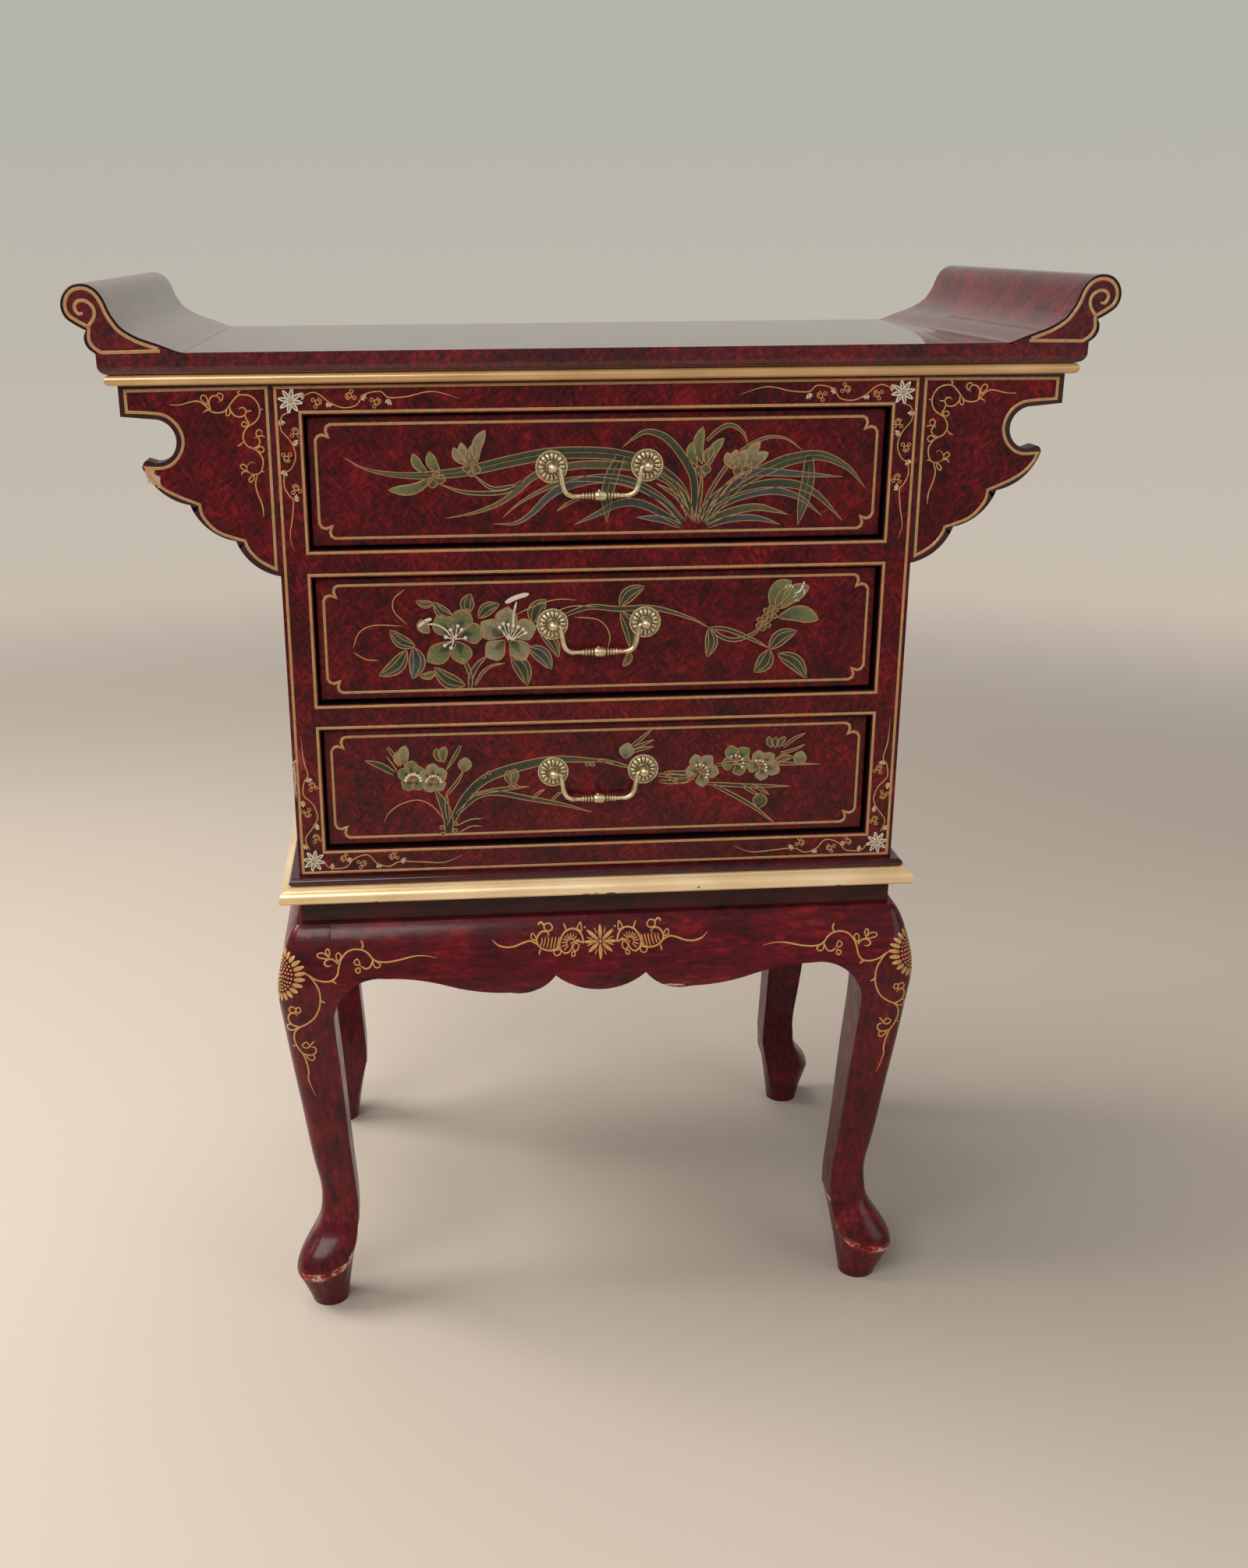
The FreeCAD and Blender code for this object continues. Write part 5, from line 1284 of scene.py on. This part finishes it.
# Apron ornament, from its flower's middle, and knee vines, for the right half
APRON_MIDDLE_Z = 358.5
APRON_PETALS = ((90, 13.5), (40, 15.0), (0, 14.4), (-40, 13.6), (-90, 15.2))
APRON_PETAL_START, APRON_PETAL_WIDTH = 1.6, 3.3
APRON_LINE_WIDTH, APRON_LOOP_WIDTH, APRON_RIB_WIDTH, APRON_TICK_WIDTH = 1.6, 1.2, 1.1, 1.0
APRON_EYE = 1.2
APRON_TICK_REACH = (7.0, 12.0)
APRON_TICKS = (66, 18, -15, -66)
APRON_LINES = (
    ((14.4, -0.7), (15.6, 5.0), (18.6, 9.2), (24.0, 11.0), (30.7, 8.2), (34.9, 1.1), (34.5, -5.2),
     (30.7, -8.7), (26.6, -7.4), (24.5, -3.0), (26.0, 0.6)),
    ((14.4, -0.7), (18.5, 0.8), (22.0, 0.6), (25.0, -0.8)),
    ((34.5, 1.0), (36.6, -4.0), (42.4, -6.1), (49.1, -4.7), (54.0, -0.7), (54.4, 4.6), (50.8, 9.1),
     (46.6, 9.5), (44.1, 7.3), (45.8, 4.8)),
    ((53.5, -1.0), (60.0, 2.4), (66.6, 1.1), (74.1, -1.6), (81.7, -2.0), (88.3, 0.2), (92.9, 4.6)),
    ((48.0, 14.2), (50.0, 16.5), (52.4, 15.8), (52.6, 14.0)), ((51.6, -4.6), (52.6, -7.0), (52.9, -9.4)),
    ((29.0, 10.0), (30.0, 12.5), (31.2, 15.3)), ((13.6, 11.0), (12.2, 12.4)),
)
APRON_LOOPS = (
    ((16.0, 9.0), (16.4, 15.3), (18.8, 13.0), (19.4, 10.4)),
    ((54.8, 2.6), (56.5, 7.0), (58.8, 8.2), (59.4, 4.6)),
    ((18.6, -2.4), (21.0, -0.6), (24.0, -3.4), (22.8, -7.0), (19.8, -6.4)),
    ((22.0, -8.0), (24.6, -8.2), (24.8, -11.2), (22.4, -11.2)),
    ((34.6, -5.6), (35.2, -9.6), (38.6, -10.4), (40.4, -6.8)),
    ((40.8, 12.4), (43.0, 15.4), (47.2, 15.0), (48.0, 11.8), (45.4, 9.8), (42.4, 10.2)),
)
FAN_MIDDLE, FAN_REACH = (25.6, -0.6), (2.8, 7.8)
FAN_TURNS = (158, 132, 110, 90, 70, 50, 30, 8, -18, -44)
CRESCENT_MIDDLE, CRESCENT_LOW, CRESCENT_RISE = 42.4, -5.0, 0.35
CRESCENT_LEAN = ((1.4, 1.0), (2.0, 5.0))
CRESCENT_RIBS = (37.6, 40.4, 43.2, 46.2, 49.2, 51.8)
KNEE_VINES = (
    ((254, 341.5), (249, 339), (244, 335.5), (237, 333.5), (230, 334), (225.5, 338.5), (224, 345),
     (221.5, 352), (216.5, 357.5), (210, 359.5), (203, 358.5), (198, 355), (195, 351), (190, 348.5),
     (182, 348), (172, 349.5), (160, 352), (150, 352), (141, 350)),
    ((250, 339.5), (245.5, 334), (241.5, 326), (240.8, 317), (242.5, 308), (247, 299.5), (253.5, 294),
     (260, 290.5), (264.5, 285), (265.5, 277.5), (263, 270), (258.5, 262.5), (256, 254), (255, 245),
     (255.5, 236), (250.5, 219)),
    ((224.5, 348), (229, 352), (234, 351.5), (236, 348.5), (233.5, 346.3), (230, 347)),
    ((204, 359.5), (202.8, 362.5), (204.5, 366.5)), ((195, 350), (197, 345), (201, 343), (206, 346)),
    ((231, 334), (228, 332.5), (226.5, 331)), ((240.8, 317), (238.5, 315), (236.5, 314.5)),
    ((260, 291), (266, 292.5), (269.3, 297.5), (268, 303), (264, 305), (260.5, 302)),
    ((259, 263.5), (252, 262), (247.5, 265), (248, 269.5), (252, 271)), ((265, 271), (267.5, 270)),
    ((252, 272), (249.5, 275), (248, 276.5)),
)
KNEE_LOOPS = (
    ((232, 352.5), (236, 357), (241, 357), (241, 354)),
    ((232.5, 354), (234.5, 359), (232.5, 360.5), (231, 357.5)),
    ((224.5, 350), (226, 355), (223.5, 357), (221.5, 354)),
    ((206, 347), (208, 351.5), (211, 349), (209, 346.5)),
    ((206.5, 344), (210, 342.5), (208, 339.5), (206, 341)),
    ((194.5, 350), (194, 345), (191, 343.5), (188.5, 346)),
    ((264, 305), (268, 307), (266, 311), (262, 309)),
    ((261, 305), (258, 307), (259, 310.5), (262, 309.5)),
    ((262, 290), (267.5, 293), (271, 290), (269, 286.3)),
    ((252.5, 271), (256, 269.5), (259, 272.5), (255, 275.5)),
    ((256, 261), (250, 262), (249, 258.5), (251.5, 256.5)),
)
KNEE_VINE_WIDTH, KNEE_LOOP_WIDTH = 1.5, 1.2
KNEE_CORNER = (262, -183)
KNEE_FLOWER = (6.0, 337)
KNEE_FLOWER_PETALS = (15.4, 22.4, 3.9, 24)
KNEE_FLOWER_DOTS = ((13.2, 23), (10.4, 18), (7.6, 13), (4.8, 8), (2.0, 4))
KNEE_DOT_RADIUS, KNEE_DOT_SWIRL = 0.88, 5


def paint_apron(canvas):
    """Half of the ornament: flower, ribbed fan, ribbed crescent and a long tail."""
    lift = Vector((0, APRON_MIDDLE_Z))

    def line(points, width, **kind):
        canvas.stroke([Vector(point) + lift for point in points], width, "ochre", **kind)

    for points in APRON_LINES:
        line(points, APRON_LINE_WIDTH, ends=(0.8, 0.3))
    for points in APRON_LOOPS:
        line(points, APRON_LOOP_WIDTH, closed=True)
    for turn in FAN_TURNS:
        line([polar(reach, turn, FAN_MIDDLE) for reach in FAN_REACH], APRON_RIB_WIDTH)
    for foot in CRESCENT_RIBS:
        low = CRESCENT_LOW + abs(foot - CRESCENT_MIDDLE) * CRESCENT_RISE
        upper = [(foot - lean, height) for lean, height in CRESCENT_LEAN]
        line([(foot, low)] + upper, APRON_RIB_WIDTH, ends=(1.0, 0.5))
    for turn, reach in APRON_PETALS:
        base, tip = polar(APRON_PETAL_START, turn) + lift, polar(reach, turn) + lift
        canvas.leaf(base, tip, APRON_PETAL_WIDTH, "ochre", veins=False, bend=0, line=None, full=0.6)
    for turn in APRON_TICKS:
        line([polar(reach, turn) for reach in APRON_TICK_REACH], APRON_TICK_WIDTH, ends=(0.5, 0.8))


def add_stand_paint():
    tree = surface_of(["front_apron", "front_left_leg", "front_right_leg"])
    canvas = Canvas(cast_from_front(tree))
    for side in SIDES:
        canvas.side = side
        for points in KNEE_VINES:
            canvas.stroke(points, KNEE_VINE_WIDTH, "ochre", ends=(0.7, 0.25))
        for points in KNEE_LOOPS:
            canvas.stroke(points, KNEE_LOOP_WIDTH, "ochre", closed=True)
        paint_apron(canvas)
    canvas.dot(0, APRON_MIDDLE_Z, APRON_EYE, "ochre")
    canvas.build("stand_gold_paint", "cabinet")
    for name, side in NAMED_SIDES:
        corner = (KNEE_CORNER[0] * side, KNEE_CORNER[1], 0)
        canvas = Canvas(cast_on(tree, corner, (side, 1, 0), (-side, 1, 0)))
        flower(canvas, KNEE_FLOWER, *KNEE_FLOWER_PETALS, "ochre")
        for reach, count in KNEE_FLOWER_DOTS:
            for k in range(count):
                spot = polar(reach, 360 * (k + reach / KNEE_DOT_SWIRL) / count, KNEE_FLOWER)
                canvas.dot(*spot, KNEE_DOT_RADIUS, "ochre")
        canvas.build(name + "_knee_flower", "cabinet")


# Rosettes behind the bail posts: a ring of gadroons inside a beaded rim
ROSETTE_RADIUS = 13.2
ROSETTE_LOBES = 16
ROSETTE_BEADS = 44
ROSETTE_POST_X = 38.0
ROSETTE_ROWS = 40
ROSETTE_SEGMENTS = 352
ROSETTE_SHRINK = 0.97
LOBE_MIDDLE, LOBE_HALF, LOBE_SPREAD, LOBE_RISE = 8.2, 2.9, 0.98, 2.3
BEAD_MIDDLE, BEAD_HALF, BEAD_SPREAD, BEAD_RISE = 12.3, 0.85, 1.15, 1.05
COLLAR_MIDDLE, COLLAR_HALF, COLLAR_RISE = 4.1, 0.7, 1.4
BOSS_RADIUS, BOSS_RISE = 3.2, 2.3
PLATE_RISE = 0.35


def dome(radial, around=0.0):
    """Height share of a rounded lump at a place given in half sizes from its middle."""
    return math.sqrt(max(0.0, 1 - radial ** 2 - around ** 2))


def rosette_height(share, angle):
    """Height in mm at a share of the radius: beaded rim, gadroons, collar and boss."""
    reach = share * ROSETTE_RADIUS
    lobe_turn, bead_turn = ((angle * n / math.pi + 1) % 2 - 1 for n in (ROSETTE_LOBES, ROSETTE_BEADS))
    lobe = dome((reach - LOBE_MIDDLE) / LOBE_HALF, (lobe_turn / LOBE_SPREAD) ** 2)
    bead = dome((reach - BEAD_MIDDLE) / BEAD_HALF, bead_turn / BEAD_SPREAD)
    collar = dome((reach - COLLAR_MIDDLE) / COLLAR_HALF)
    boss = dome(reach / BOSS_RADIUS)
    return PLATE_RISE + max(LOBE_RISE * lobe, BEAD_RISE * bead, COLLAR_RISE * collar, BOSS_RISE * boss)


def rosette_rings(face_y, middle):
    """Rings from the rim at the back to the top of the boss."""
    rings = []
    for row in range(ROSETTE_ROWS + 1):
        share = 1 - row / ROSETTE_ROWS * ROSETTE_SHRINK
        ring = []
        for k in range(ROSETTE_SEGMENTS):
            height = rosette_height(share, 2 * math.pi * k / ROSETTE_SEGMENTS) if row else 0.0
            spot = polar(share * ROSETTE_RADIUS, 360 * k / ROSETTE_SEGMENTS, middle)
            ring.append(Vector((spot.x, face_y - height, spot.y)) * MM)
        rings.append(ring)
    return rings


def add_rosettes(metal):
    for name in DRAWERS:
        low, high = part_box(name + "_rosettes")
        middles = [(side * ROSETTE_POST_X, (low.z + high.z) / 2 / MM) for side in SIDES]
        skins = [rosette_rings(high.y / MM, middle) for middle in middles]
        mesh = skinned_mesh(name + "_chased_rosettes", skins)
        mesh.polygons.foreach_set("use_smooth", [len(face.vertices) == 4 for face in mesh.polygons])
        mesh.materials.append(metal)
        piece = link(bpy.data.objects.new(name + "_chased_rosettes", mesh))
        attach(piece, name + "_drawer")
        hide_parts(name + "_rosettes")


# Bails: wire arms that lean in a little, and a turned grip with a barrel, rings and a small knob
BAIL_PIN_RADIUS = 1.5
BAIL_WIRE_RADIUS = 2.05
BAIL_SEGMENTS = 20
BAIL_ARM = (
    (37.2, 0.0), (34.2, 0.0), (32.6, -0.5), (32.0, -2.2), (30.8, -9.0), (29.6, -15.0), (27.2, -19.6),
    (22.5, -22.0),
)
PIN_POINTS, TAPER_POINTS = 4, 9
BARREL_HALF, BARREL_NECK, BARREL_SWELL = 4.9, 2.3, 1.7
GRIP_CORE, GRIP_STEPS, GRIP_BLEND = 1.7, 240, 3
RING_PLACES, RING_HALF, RING_RISE, RING_FALL = (6.5, 8.9, 11.3, 13.7), 0.8, 1.5, 0.2
KNOB_PLACE, KNOB_RADIUS = (-1.2, 3.6), 1.35
KNOB_ROWS, KNOB_SEGMENTS, KNOB_CAP = 8, 12, 0.02
BAIL_CREASE = 60.0


def grip_radius(x):
    """Radius of the bar at a distance from its middle."""
    away = abs(x)
    if away < BARREL_HALF:
        return BARREL_NECK + BARREL_SWELL * math.cos(math.pi / 2 * (away / BARREL_HALF) ** 2) ** 0.6
    radius = GRIP_CORE
    for i, middle in enumerate(RING_PLACES):
        radius += (RING_RISE - RING_FALL * i) * dome((away - middle) / RING_HALF)
    return radius


def bail_path():
    """Middle line of one bail, relative to its pivot, with the wire's radius."""
    arm = []
    for i, point in enumerate(spline(BAIL_ARM, step=1.0)):
        share = min(1.0, max(0.0, (i - PIN_POINTS) / TAPER_POINTS))
        arm.append((point.x, point.y, BAIL_PIN_RADIUS + (BAIL_WIRE_RADIUS - BAIL_PIN_RADIUS) * share))
    run, drop = BAIL_ARM[-1]
    bar = []
    for k in range(1, GRIP_STEPS):
        x = -run + 2 * run * k / GRIP_STEPS
        share = min(1.0, (run - abs(x)) / GRIP_BLEND)
        bar.append((x, drop, BAIL_WIRE_RADIUS + (grip_radius(x) - BAIL_WIRE_RADIUS) * share))
    return [(-x, z, radius) for x, z, radius in arm] + bar + arm[::-1]


def bail_rings(pivot):
    path = bail_path()
    rings = []
    for i, (x, z, radius) in enumerate(path):
        before, after = path[max(0, i - 1)], path[min(len(path) - 1, i + 1)]
        along = Vector((after[0] - before[0], 0, after[1] - before[1])).normalized()
        up = Vector((-along.z, 0, along.x))
        offsets = (up * way.x + Vector(BACK) * way.y for way in circle((0.0, 0.0), 1.0, BAIL_SEGMENTS))
        rings.append([(pivot + Vector((x, 0, z)) + offset * radius) * MM for offset in offsets])
    return rings


def knob_rings(centre):
    rings = []
    for i in range(KNOB_ROWS + 1):
        tilt = math.pi * (KNOB_CAP + (1 - 2 * KNOB_CAP) * i / KNOB_ROWS)
        level = circle((0.0, 0.0), KNOB_RADIUS * math.sin(tilt), KNOB_SEGMENTS)
        rings.append([(centre + Vector((*spot, KNOB_RADIUS * math.cos(tilt)))) * MM for spot in level])
    return rings


def add_bails(metal):
    for name in DRAWERS:
        low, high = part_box(name + "_bail")
        pivot = Vector((0.0, (low.y + high.y) / 2 / MM, high.z / MM - BAIL_PIN_RADIUS))
        knob = pivot + Vector((KNOB_PLACE[0], 0, BAIL_ARM[-1][1] + KNOB_PLACE[1]))
        skins = [bail_rings(pivot), knob_rings(knob)]
        piece = smooth_piece(name + "_turned_bail", skins, metal, BAIL_CREASE)
        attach(piece, name + "_bail_pull")
        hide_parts(name + "_bail")


# Legs: the CAD leg down to the ankle, then a pad foot whose rim runs into the leg's side edges
LEG_SEGMENTS = 96
LEG_CREASE = 42.0
LEG_STEP, EAR_STEP, KNEE_STEP = 5.0, 3.0, 1.2
ANKLE_CENTRE = (236.0, 157.0)
KNEE_CENTRE, KNEE_RISE = (250.0, 171.0), 200.0
ANKLE_Z = 94.0
EAR_Z = 296.0
KNEE_ROUND = 24.0
TOP_GAP = 0.05
FOOT_BASE_MIDDLE, FOOT_BASE_RADIUS, FOOT_FLARE = 18.0, 16.5, 1.1
FOOT_ROWS = ((0.05, 0.5), (0.10, 0.0), (0.40, 0.0), (0.70, 0.0), (0.84, 0.72), (0.94, 0.96))
RIM_TURNS = (0, 20, 36, 52, 68, 84, 100)
RIM_HALF = (
    (51.0, 0.0, 36.5), (45.6, 12.9, 37.0), (36.5, 20.8, 38.5), (25.0, 26.0, 43.0), (13.0, 27.0, 52.0),
    (4.0, 24.5, 65.0), (-2.0, 20.5, 80.0),
)
SPOON = (
    (0.022, 0.006), (0.07, 0.02), (0.15, 0.07), (0.24, 0.16), (0.33, 0.29), (0.42, 0.44), (0.51, 0.60),
    (0.61, 0.76), (0.72, 0.88), (0.84, 0.96),
)
RIM_WEAR = 1.0
SPOON_WEAR, SPOON_WORN = 0.85, 0.08
BACK_WEAR = 0.6


def rim_at(turn, ankle):
    """A place on the rim at an angle from the toe: outwards, across and up. At the back it is the leg's."""
    away = abs((turn + 180) % 360 - 180)
    if away >= RIM_TURNS[-1]:
        return ankle[0], ankle[1], RIM_HALF[-1][2]
    k = next(k for k, end in enumerate(RIM_TURNS[1:]) if away < end)
    t = (away - RIM_TURNS[k]) / (RIM_TURNS[k + 1] - RIM_TURNS[k])
    before = RIM_HALF[k - 1] if k else (RIM_HALF[1][0], -RIM_HALF[1][1], RIM_HALF[1][2])
    after = RIM_HALF[min(k + 2, len(RIM_HALF) - 1)]
    spots = (Vector(spot) for spot in (before, RIM_HALF[k], RIM_HALF[k + 1], after))
    spot = between(*spots, t)
    side = 1 if turn % 360 < 180 else -1
    return spot.x, spot.y * side, spot.z


def leg_ring(tree, guess, z, outward, across):
    """The CAD leg's outline at a height, found from its own middle."""
    middle = Vector((guess.x, guess.y, z))
    for axis, way in enumerate((RIGHT, BACK)):
        ends = [tree.ray_cast(middle * MM, Vector(way) * side)[0] for side in SIDES]
        middle[axis] = (ends[0][axis] + ends[1][axis]) / 2 / MM
    ways = (outward * way.x + across * way.y for way in circle((0.0, 0.0), 1.0, LEG_SEGMENTS))
    return [tree.ray_cast(middle * MM, way)[0] / MM for way in ways]


def ring_between(lows, highs, out, up):
    """A ring part of the way out, and part of the way up, from one ring to another."""
    ring = []
    for low, high in zip(lows, highs):
        spot = low.lerp(high, out)
        spot.z = low.z + (high.z - low.z) * up
        ring.append(spot)
    return ring


def leg_rows(tree, sign_x, sign_y, top_z):
    """Rings from the floor up, and how worn each one is."""
    outward = Vector((sign_x, sign_y, 0)).normalized()
    across = Vector((-outward.y, outward.x, 0))
    centre = Vector((ANKLE_CENTRE[0] * sign_x, ANKLE_CENTRE[1] * sign_y, 0))
    ankle = leg_ring(tree, centre, ANKLE_Z, outward, across)
    base, rim = [], []
    for k, spot in enumerate(ankle):
        turn = 360 * k / LEG_SEGMENTS
        angle = math.radians(turn)
        out = FOOT_BASE_MIDDLE + FOOT_BASE_RADIUS * math.cos(angle)
        base.append(centre + outward * out + across * FOOT_BASE_RADIUS * math.sin(angle))
        out, side, level = rim_at(turn, ((spot - centre).dot(outward), (spot - centre).dot(across)))
        rim.append(centre + outward * out + across * side + Vector((0, 0, level)))
    rows = [(base, 0.0)]
    for share, wear in FOOT_ROWS:
        rows.append((ring_between(base, rim, share ** FOOT_FLARE, share), wear))
    rows.append((rim, RIM_WEAR))
    for height, share in SPOON:
        rows.append((ring_between(rim, ankle, share, height), SPOON_WEAR if height < SPOON_WORN else 0.0))
    rows.append((ankle, 0.0))
    knee = Vector((KNEE_CENTRE[0] * sign_x, KNEE_CENTRE[1] * sign_y, 0))
    z = ANKLE_Z
    while z < top_z - TOP_GAP:
        step = LEG_STEP if z < EAR_Z else EAR_STEP if z < top_z - KNEE_ROUND else KNEE_STEP
        z = min(z + step, top_z - TOP_GAP)
        guess = centre.lerp(knee, min(1.0, (z - ANKLE_Z) / KNEE_RISE))
        rows.append((leg_ring(tree, guess, z, outward, across), 0.0))
    rows.append(([Vector((spot.x, spot.y, top_z)) for spot in rows[-1][0]], 0.0))
    return rows


def add_legs(material):
    for name in ("front_left", "front_right", "back_left", "back_right"):
        node = name + "_leg"
        low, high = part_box(node)
        sign_x = math.copysign(1, low.x + high.x)
        sign_y = math.copysign(1, low.y + high.y)
        rows = leg_rows(surface_of([node]), sign_x, sign_y, high.z / MM)
        rings = [[spot * MM for spot in row] for row, _ in rows]
        piece = smooth_piece(name + "_carved_leg", [rings], material, LEG_CREASE)
        worn = piece.data.attributes.new("worn", "FLOAT", "POINT")
        kept = 1.0 if sign_y < 0 else BACK_WEAR
        worn.data.foreach_set("value", [wear * kept for row, wear in rows for _ in row])
        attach(piece, "cabinet")
        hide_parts(node)


# Chips and nicks: (colour, u, v, length, thickness, tilt in degrees)
CHIP_LAYER = 48
CHIP_SEED = 7
CHIP_STEP, CHIP_WANDER, CHIP_RAGGED = 1.2, 0.18, (0.45, 0.85)
FRAME_CHIPS = (
    ("rubbed", -250.0, 531, 16, 5.5, 90), ("rubbed", -247.6, 521, 15, 8.5, 80),
    ("rubbed", -251.2, 500, 26, 4.4, 90), ("chip", -252.9, 507, 30, 2.6, 90),
    ("chip", -251.6, 523, 6, 3.0, 30), ("rubbed", 150, 803.6, 9, 1.6, 0), ("chip", 208, 695.2, 7, 1.4, 0),
    ("rubbed", 60, 803.8, 5, 1.4, 0), ("chip", -40, 569, 6, 1.0, 0),
)
WING_CHIPS = (("rubbed", -352.6, 763.2, 5, 4, 60), ("chip", -346.9, 756.0, 17, 9.0, -58))
APRON_CHIPS = (
    ("chip", 62, 318.6, 22, 2.2, -4), ("chip", 12, 316.4, 7, 1.3, 0), ("chip", -54, 319.2, 6, 1.2, 10),
    ("rubbed", 74, 320.0, 10, 1.6, 8), ("rubbed", -30, 321, 9, 1.4, -24),
)
BAND_CHIPS = (
    ("nick", -12, 403.2, 7, 1.6, 0), ("nick", -4, 403.4, 4, 1.4, 0), ("nick", 9, 403.2, 9, 1.7, 0),
    ("nick", 84, 406, 2.5, 1.6, 0), ("nick", 205, 403, 5, 1.3, 0), ("nick", -190, 403, 4, 1.2, 0),
)


def flake(canvas, draws, colour, u, v, length, thickness, tilt):
    """A chip with a ragged outline."""
    along = polar(1.0, tilt)
    across = Vector((-along.y, along.x))
    steps = max(4, round(length / CHIP_STEP))
    spine, halves = [], []
    for k in range(steps + 1):
        t = k / steps
        shift = draws.uniform(-CHIP_WANDER, CHIP_WANDER) * thickness
        spine.append(Vector((u, v)) + along * length * (t - 0.5) + across * shift)
        ragged = draws.uniform(*CHIP_RAGGED)
        halves.append(thickness / 2 * (0.15 + math.sin(math.pi * t) ** 0.5 * ragged))
    canvas.fill(spine, halves, colour)


def add_chips():
    places = {
        "face_frame_chips": (flat_front(front_of("left_stile")), FRAME_CHIPS),
        "left_wing_chips": (flat_front(front_of("left_wing_bracket")), WING_CHIPS),
        "apron_chips": (cast_from_front(surface_of(["front_apron"])), APRON_CHIPS),
        "gold_band_nicks": (cast_from_front(surface_of(["base_gold_band"])), BAND_CHIPS),
    }
    draws = random.Random(CHIP_SEED)
    for name, (place, chips) in places.items():
        canvas = Canvas(place)
        canvas.layer = CHIP_LAYER if chips is FRAME_CHIPS else 0
        for chip in chips:
            flake(canvas, draws, *chip)
        canvas.build(name, "cabinet")


add_camera()
add_stage()
add_world()
add_lamps()
dress_cad_nodes()
add_frame_lines()
for drawer, spray in SPRAYS.items():
    paint_spray(drawer, spray)
add_stile_vines()
add_wing_paint()
add_scroll_ends(bpy.data.materials["top_lacquer"])
add_stand_paint()
add_rosettes(bpy.data.materials["aged_brass"])
add_bails(bpy.data.materials["aged_brass"])
add_legs(bpy.data.materials["leg_lacquer"])
add_chips()

bpy.context.scene.view_settings.view_transform = "Standard"
